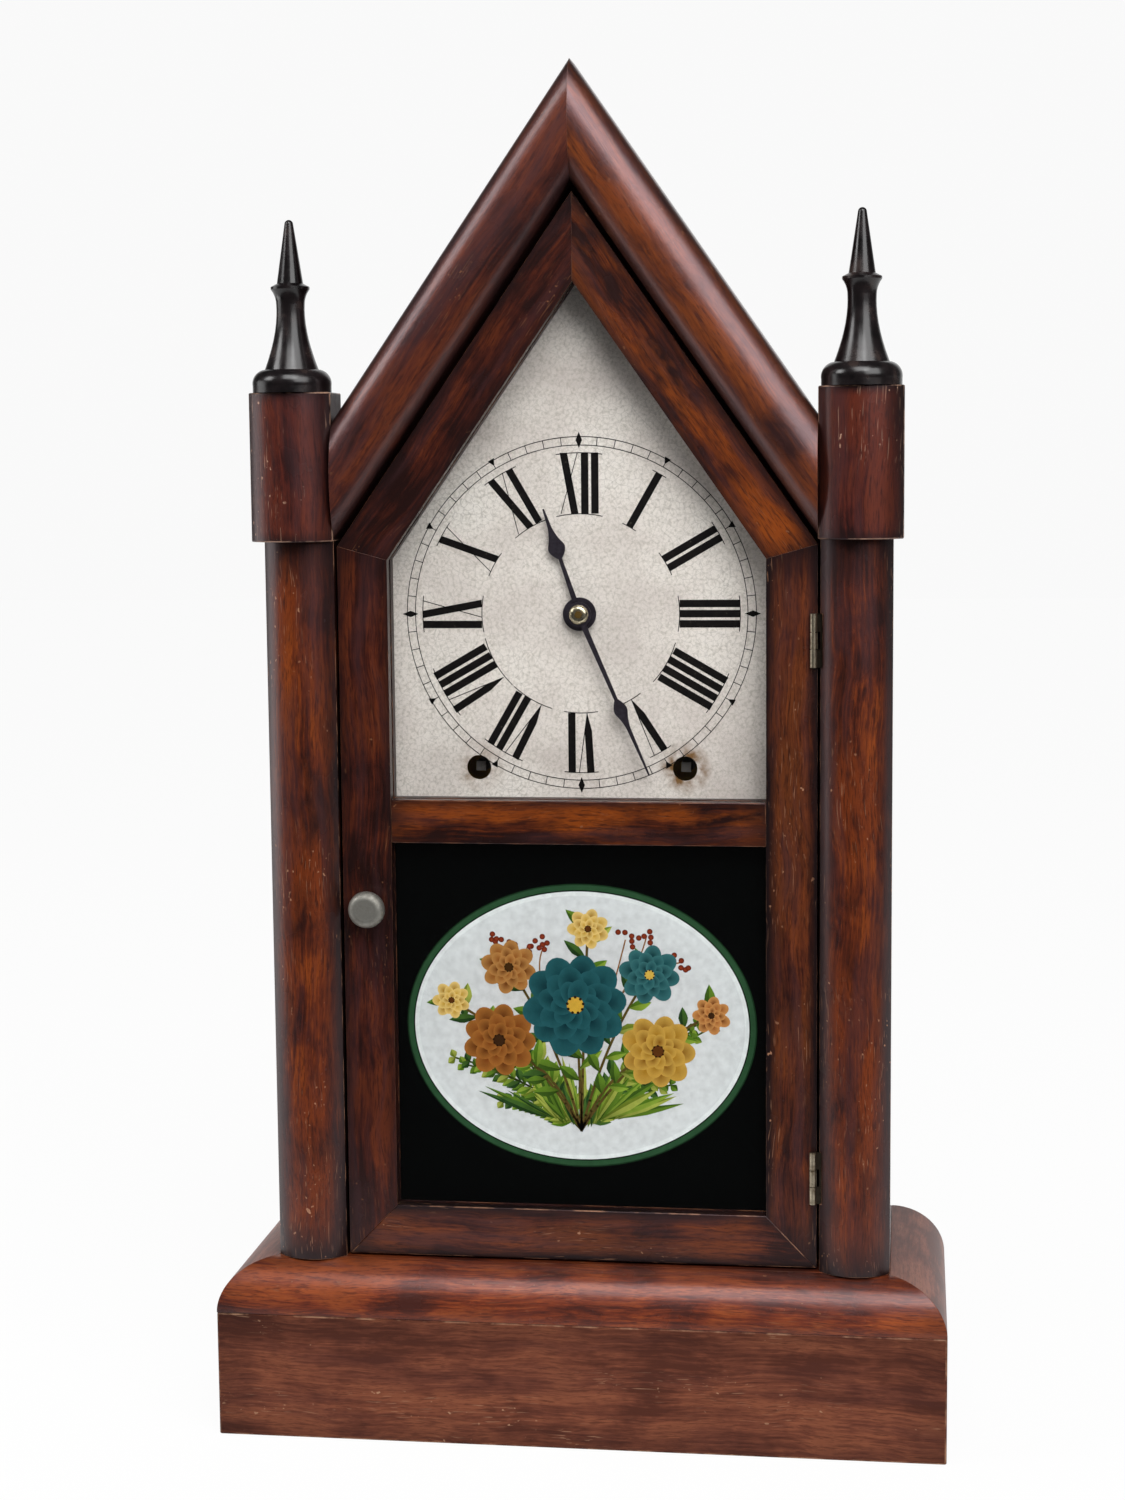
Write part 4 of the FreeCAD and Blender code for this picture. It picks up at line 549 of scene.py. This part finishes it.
# Door: softwood stiles and rails, mitred and glued at the corners, with a middle rail between the two
# sheets of glass. The veneer runs along each of them.
door_veneer = veneer("mahogany_veneer_door", "#1d0b08", "#4a2112", "#713718", patch="#603013",
                     worn="#a5785c", dirt_and_shade=1.2, polish=0.35)
dark_veneer = veneer("mahogany_veneer_door_dark", "#1c0a07", "#3f190f", "#602b14", polish=0.35)
flame_veneer = veneer("mahogany_veneer_door_flame", "#1e0c08", "#4c200d", "#7d3b12", patch="#8b420f",
                      polish=0.35)
eased("door_hinge_stile", "door", [door_veneer], 0.4, upright)
eased("door_knob_stile", "door", [dark_veneer], 0.4, upright)
eased("door_bottom_rail", "door", [door_veneer], 0.4, level)
eased("door_middle_rail", "door", [flame_veneer], 0.4, level)
eased("door_top_rails", "door", [dark_veneer, flame_veneer], 0.4, down_the_slope)

# Upper glass: a plain sheet of old window glass, cut to the pointed opening. It lies in a rabbet in
# the back of the door.
def sheet_glass(name):
    """Thin clear glass that lets the light through and mirrors a little of the room."""
    material, tree = blank_material(name)
    clear = add(tree, "ShaderNodeBsdfTransparent", {"Color": linear("#ffffff")})
    mirror = add(tree, "ShaderNodeBsdfGlossy", {"Roughness": 0.02})
    edge = add(tree, "ShaderNodeFresnel", {"IOR": 1.45})
    back = add(tree, "ShaderNodeNewGeometry").outputs["Backfacing"]
    front = add(tree, "ShaderNodeMath", {0: edge.outputs[0], 1: back}, operation="SUBTRACT",
                use_clamp=True).outputs[0]
    mixed = add(tree, "ShaderNodeMixShader", {0: front, 1: clear.outputs[0], 2: mirror.outputs[0]})
    add(tree, "ShaderNodeOutputMaterial", {"Surface": mixed.outputs[0]})
    return material


dress(sheet_glass("old_clear_sheet_glass"), "upper_glass")

# Tablet: the lower glass, painted on its back in black with a green-edged oval, in which a spray of
# flowers is painted on white. It lies in the same rabbet below the middle rail.
LAYER, LAYERS = 0.05 * MM, 8
SPRIG_AT, BERRY_AT, FROND_STALK_AT, FROND_AT, TUFT_AT = 5.2, 5.25, 5.3, 5.4, 5.7
STEM_AT, STEM_LEAF_AT, PETAL_AT, HEART_AT, DOT_AT = 6.2, 6.25, 6.6, 7.85, 7.9
OVAL_WIDE, OVAL_TALL, OVAL_DROP = 66.0, 54.0, 0.35
GROUND_WIDE, GROUND_TALL = 69.65, 69.2
WHITE_INSET = 4.5
dress(sheet_glass("old_tablet_sheet_glass"), "tablet_glass")
glass_low, glass_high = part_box("tablet_glass")
oval_middle = Vector((0, glass_high.y, (glass_low.z + glass_high.z) / 2 - OVAL_DROP * MM))

# Oil colours laid on glass: flat, with a soft unevenness from the brush. Each stroke has its colour.
tablet_paint, tree = blank_material("oil_paint_on_glass")
place = add(tree, "ShaderNodeTexCoord").outputs["Object"]
tone = add(tree, "ShaderNodeAttribute", attribute_name="paint").outputs["Color"]
brush = between(tree, clouds(tree, place, 2.5, 4.0), 0.3, 0.7, 0.88, 1.06)
tone = add(tree, "ShaderNodeVectorMath", {0: tone, "Scale": brush}, operation="SCALE").outputs[0]
surface = add(tree, "ShaderNodeBsdfPrincipled", {"Base Color": tone, "Roughness": 0.8,
                                                 "Specular IOR Level": 0.0})
add(tree, "ShaderNodeOutputMaterial", {"Surface": surface.outputs[0]})

tablet_bm = bmesh.new()
paint = tablet_bm.loops.layers.float_color.new("paint")


def on_glass(across, up, turn=0.0, wide=1.0, tall=1.0, layer=0.0):
    """A matrix that lays a unit shape on the back of the glass, in mm from the middle of the oval."""
    spot = oval_middle + Vector((across * MM, (LAYERS - layer) * LAYER, up * MM))
    stand = Matrix.Rotation(turn, 4, "Y") @ Matrix.Rotation(math.pi / 2, 4, "X")
    return Matrix.Translation(spot) @ stand @ Matrix.Diagonal((wide * MM, tall * MM, 1, 1))


def coloured(verts, tone):
    """Give the faces just made their colour, which may change with the place."""
    for vert in verts:
        for loop in vert.link_loops:
            loop[paint] = tone(vert.co)


def disc(colour, segments=20, rim=None, **where):
    """A flat round or oval touch of colour, which may change towards its rim."""
    shape = on_glass(**where)
    verts = bmesh.ops.create_circle(tablet_bm, cap_ends=True, cap_tris=True, segments=segments, radius=1.0,
                                    matrix=shape)["verts"]
    heart, edge = Vector(linear(colour)), Vector(linear(rim or colour))
    coloured(verts, lambda spot: edge if (spot - shape.translation).length > LAYER else heart)


def blade(colours, across, up, turn, length, width, layer):
    """A pointed leaf from its stalk outwards, dark at the stalk, with the second colour on one half."""
    for half, colour in enumerate(colours):
        verts = bmesh.ops.create_circle(tablet_bm, cap_ends=True, segments=16, radius=1.0)["verts"]
        for vert in verts:
            slim = (1 - abs(vert.co.y) ** 1.5) / max((1 - vert.co.y ** 2) ** 0.5, 0.05)
            vert.co.x *= slim if half == 0 or vert.co.x > 0 else 0.15 * slim
            vert.co.y = (vert.co.y + 1) / 2
        tip, root = Vector(linear(colour)), Vector(linear(colour)) * 0.45
        shape = on_glass(across, up, turn, width / 2, length, layer + 0.03 * half)
        coloured(verts, lambda spot: root.lerp(tip, min(1, 1.6 * spot.y)))
        bmesh.ops.transform(tablet_bm, matrix=shape, verts=verts)


def stalk(colour, start, bend, end, width, layer):
    """A thin curved stalk, as a row of short strokes, and the places along it."""
    steps = 12
    curve = []
    for step in range(steps + 1):
        share = step / steps
        curve.append([(1 - share) ** 2 * a + 2 * share * (1 - share) * b + share ** 2 * c
                      for a, b, c in zip(start, bend, end)])
    for (x0, z0), (x1, z1) in zip(curve, curve[1:]):
        shape = on_glass((x0 + x1) / 2, (z0 + z1) / 2, math.atan2(x1 - x0, z1 - z0), width / 2,
                         math.hypot(x1 - x0, z1 - z0) * 0.55, layer)
        made = bmesh.ops.create_grid(tablet_bm, x_segments=1, y_segments=1, size=1.0, matrix=shape)
        coloured(made["verts"], lambda spot: linear(colour))
    return curve


chance = random.Random(11)


def flower(across, up, radius, petals, colours, heart):
    """A full open flower: three rings of shaded petals and a dotted heart."""
    for ring in range(3):
        reach = radius * (0.64 - 0.19 * ring)
        for petal in range(petals):
            turn = (petal + 0.5 * ring) * 2 * math.pi / petals + 0.2 + chance.uniform(-0.08, 0.08)
            size = chance.uniform(0.92, 1.08)
            disc(colours[(ring + petal) % 2], rim=colours[2], across=across + reach * math.sin(turn),
                 up=up + reach * math.cos(turn), turn=turn, wide=radius * (0.31 - 0.06 * ring) * size,
                 tall=radius * (0.4 - 0.08 * ring) * size, layer=PETAL_AT + 0.4 * ring + 0.02 * petal)
    disc(heart, 14, across=across, up=up, wide=radius * 0.17, tall=radius * 0.17, layer=HEART_AT)
    for dot in range(9):
        turn = dot * 2 * math.pi / 9
        disc("#2a1a0c", 8, across=across + radius * 0.16 * math.sin(turn),
             up=up + radius * 0.16 * math.cos(turn), wide=radius * 0.03, tall=radius * 0.03, layer=DOT_AT)


# The black ground, the rings of the green edge and the white of the oval, each on its own layer.
made = bmesh.ops.create_grid(tablet_bm, x_segments=1, y_segments=1, size=1.0, matrix=on_glass(
    0, OVAL_DROP, wide=GROUND_WIDE, tall=GROUND_TALL))
coloured(made["verts"], lambda spot: linear("#040505"))
rings = ((0, "#1b3320"), (0.5, "#2c4f33"), (2.4, "#101a13"), (2.9, "#e2e8e7"))
for layer, (inset, colour) in enumerate(rings, 1):
    disc(colour, 128, across=0, up=0, wide=OVAL_WIDE - inset, tall=OVAL_TALL - inset, layer=layer)
disc("#c9c8c8", 128, rim="#d6dbdb", across=0, up=0, wide=OVAL_WIDE - WHITE_INSET,
     tall=OVAL_TALL - WHITE_INSET, layer=len(rings) + 1)

# The spray: fronds and tufts about its foot, leafy stalks, sprigs of berries and the open flowers.
greens = (("#3c5a1c", "#5f8128"), ("#557a22", "#84a038"), ("#26421f", "#41642a"), ("#71822a", "#a1ac4c"))
spray_foot = (0, -40)
sprig_reach = (56, 44)
for frond in range(14):
    side = -1 if frond % 2 else 1
    end = (side * chance.uniform(26, 50), chance.uniform(-30, 6))
    curve = stalk("#3d4a1c", spray_foot, (side * chance.uniform(4, 14), chance.uniform(-30, -8)), end, 0.7,
                  FROND_STALK_AT)
    for step, (x, z) in enumerate(curve[2:]):
        heading = math.atan2(x - curve[step + 1][0], z - curve[step + 1][1])
        for lean in (-0.9, 0.9):
            blade(greens[(frond + step) % 4], x, z, heading + lean, 8.5 - 0.5 * step, 3.0,
                  FROND_AT + 0.04 * (frond % 5) + 0.003 * step)
for tuft in range(46):
    lean = chance.uniform(-1.25, 1.25)
    blade(chance.choice(greens), lean * 9 + chance.uniform(-3, 3), -39 + abs(lean) * 3,
          lean + chance.uniform(-0.2, 0.2), chance.uniform(12, 30), chance.uniform(1.6, 3.6),
          TUFT_AT + 0.009 * tuft)
blooms = ((-2, 8, 19, 10, ("#0c2a30", "#143c42", "#24575c"), "#c9a13a"),
          (-31, -6, 13.5, 9, ("#562810", "#763d18", "#9c642c"), "#3a2412"),
          (29, -9, 13.5, 9, ("#7d5014", "#9c701f", "#c19a45"), "#5a3214"),
          (26, 20, 11, 8, ("#103338", "#1a474c", "#376b6d"), "#d2b04c"),
          (-27, 22, 10, 8, ("#683512", "#8a5020", "#b07e44"), "#40280f"),
          (49, 5, 7, 7, ("#6d3513", "#99592a", "#c48c50"), "#3a2412"),
          (-49, 9, 7, 7, ("#a2761f", "#c09534", "#dfc277"), "#5a3214"),
          (3, 37, 7.5, 7, ("#a2761f", "#c09534", "#dfc277"), "#5a3214"))
for number, (across, up, radius, petals, colours, heart) in enumerate(blooms):
    curve = stalk("#564621", spray_foot, (across * 0.35, up * 0.4 - 12), (across, up), 1.0, STEM_AT)
    for step, (x, z) in enumerate(curve[4:]):
        lean = math.atan2(across, up - spray_foot[1]) + (0.9 if step % 2 else -0.9)
        blade(greens[step % 4], x, z, lean, chance.uniform(8, 12), chance.uniform(3.4, 4.6),
              STEM_LEAF_AT + 0.02 * number)
for sprig in range(10):
    side = -1 if sprig % 2 else 1
    end = (side * chance.uniform(12, 44), chance.uniform(24, 36))
    if (end[0] / sprig_reach[0]) ** 2 + (end[1] / sprig_reach[1]) ** 2 < 1:
        stalk("#8a5f34", (side * 8, 0), (side * chance.uniform(8, 24), 22), end, 0.55, SPRIG_AT)
        for berry in range(5):
            disc("#8f3a22", 10, rim="#5c2114", across=end[0] + chance.uniform(-3, 3),
                 up=end[1] + chance.uniform(-3, 3), wide=1.1, tall=1.1, layer=BERRY_AT + 0.01 * berry)
for bloom in blooms:
    flower(*bloom)
finished(tablet_bm, "tablet_painting", "door", tablet_paint)

# Beads: thin strips of wood, stained dark like the inside of the case. They are pinned into the rabbets
# behind both sheets of glass.
eased("glazing_beads", "door", [case_veneer], 0.2, upright)

# Fittings: two small pressed hinges of brass, worn pale on the knuckles and painted near black behind them
# as painted shade in the recess, and a turned knob of white metal. Its spindle works a brass tongue behind
# the door.
# Painted shade behind the hinge knuckles: the depths where it starts and where it is full.
SHADE_FROM_DEPTH, SHADE_FULL_DEPTH = 1.2, 1.7
knuckle_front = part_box("hinge_case_leaves")[0].y / MM
hinge_brass = bare_metal("brown_hinge_brass", "#cfc3ab", "#5a4630", 0.28, patch_mm=4, tarnished=0.8,
                         painted_shade_mm=(knuckle_front + SHADE_FROM_DEPTH, knuckle_front + SHADE_FULL_DEPTH))
pewter = bare_metal("dull_white_metal", "#98968f", "#6c6963", 0.5, patch_mm=4)
dress(hinge_brass, "hinge_case_leaves", "hinge_door_leaves")
dress(brass, "latch_tongue", "catch_plate")
dress(pewter, "door_knob")

# Floor and light: the clock stands near the front edge of a white table, before a white wall, with
# broad soft lamps over it and a dim room in front.
TABLE_FRONT = -0.3
TABLE_SIZE = 6.0
PAPER_SHARE = 0.95
ROOM_SHARE = 0.05
LAMP_AIM = Vector((0, 0, 0.28))
floor_bm = bmesh.new()
bmesh.ops.create_grid(floor_bm, x_segments=1, y_segments=1, size=TABLE_SIZE / 2, matrix=Matrix.Translation(
    (0, TABLE_FRONT + TABLE_SIZE / 2, 0)))
floor_mesh = bpy.data.meshes.new("floor")
floor_bm.to_mesh(floor_mesh)
floor_bm.free()
floor = bpy.data.objects.new("floor", floor_mesh)
scene.collection.objects.link(floor)

# White paper, which the camera, mirrors and glass see nearly free of shade.
floor_paper, tree = blank_material("white_paper_sweep")
path = add(tree, "ShaderNodeLightPath").outputs
seen = path["Is Camera Ray"]
for ray in ("Is Glossy Ray", "Is Transmission Ray"):
    seen = add(tree, "ShaderNodeMath", {0: seen, 1: path[ray]}, operation="MAXIMUM").outputs[0]
seen = times(tree, seen, PAPER_SHARE)
paper = add(tree, "ShaderNodeBsdfDiffuse", {"Color": linear("#f0f0f0")})
glow = add(tree, "ShaderNodeEmission", {"Color": (1, 1, 1, 1), "Strength": 1.0})
mixed = add(tree, "ShaderNodeMixShader", {0: seen, 1: paper.outputs[0], 2: glow.outputs[0]})
add(tree, "ShaderNodeOutputMaterial", {"Surface": mixed.outputs[0]})
floor_mesh.materials.append(floor_paper)

# The white wall behind the clock, which the camera sees on every side, and the dim room in front.
world = bpy.data.worlds.new("studio")
scene.world = world
world.use_nodes = True
tree = world.node_tree
tree.nodes.clear()
towards = add(tree, "ShaderNodeTexCoord").outputs["Generated"]
towards = add(tree, "ShaderNodeSeparateXYZ", {0: towards}).outputs["Y"]
bright = between(tree, towards, 0.7, 0.9, ROOM_SHARE, PAPER_SHARE)
seen = times(tree, add(tree, "ShaderNodeLightPath").outputs["Is Camera Ray"], PAPER_SHARE)
bright = add(tree, "ShaderNodeMath", {0: bright, 1: seen}, operation="MAXIMUM").outputs[0]
sky = add(tree, "ShaderNodeBackground", {"Color": (1, 1, 1, 1), "Strength": bright})
add(tree, "ShaderNodeOutputWorld", {"Surface": sky.outputs[0]})


def softbox(name, place, size, watts):
    """A broad square lamp turned towards the clock."""
    lamp = bpy.data.lights.new(name, "AREA")
    lamp.size = size
    lamp.energy = watts
    holder = bpy.data.objects.new(name, lamp)
    aim = (LAMP_AIM - Vector(place)).to_track_quat("-Z", "Y")
    holder.matrix_world = Matrix.Translation(place) @ aim.to_matrix().to_4x4()
    scene.collection.objects.link(holder)


softbox("lamp_right", (0.82, -1.12, 1.16), 1.2, 20)
softbox("lamp_left", (-1.28, -0.58, 1.17), 0.6, 8)
softbox("lamp_front", (0.1, -1.3, 1.9), 1.2, 26)
softbox("lamp_low_left", (-1.25, -0.05, 0.3), 0.7, 3)

# Camera: it stands about a metre off, a little to the right of the clock and above its middle, and
# looks slightly down. Its place and its focal length, in pixels of the photo's height, come from a fit.
PHOTO_FOCAL = 2552.75
PHOTO_HEIGHT = 1500
camera_place = Vector((122.13, -958.57, 366.23)) * MM
camera_yaw, camera_pitch, camera_roll = 0.1368, -0.1134, -0.0094
lens = bpy.data.cameras.new("camera")
lens.sensor_fit = "VERTICAL"
lens.sensor_height = 36
lens.lens = PHOTO_FOCAL * lens.sensor_height / PHOTO_HEIGHT
camera = bpy.data.objects.new("camera", lens)
turn = Matrix.Rotation(camera_yaw, 4, "Z") @ Matrix.Rotation(math.pi / 2 + camera_pitch, 4, "X")
camera.matrix_world = Matrix.Translation(camera_place) @ turn @ Matrix.Rotation(camera_roll, 4, "Z")
scene.collection.objects.link(camera)
scene.camera = camera
scene.view_settings.view_transform = "Standard"
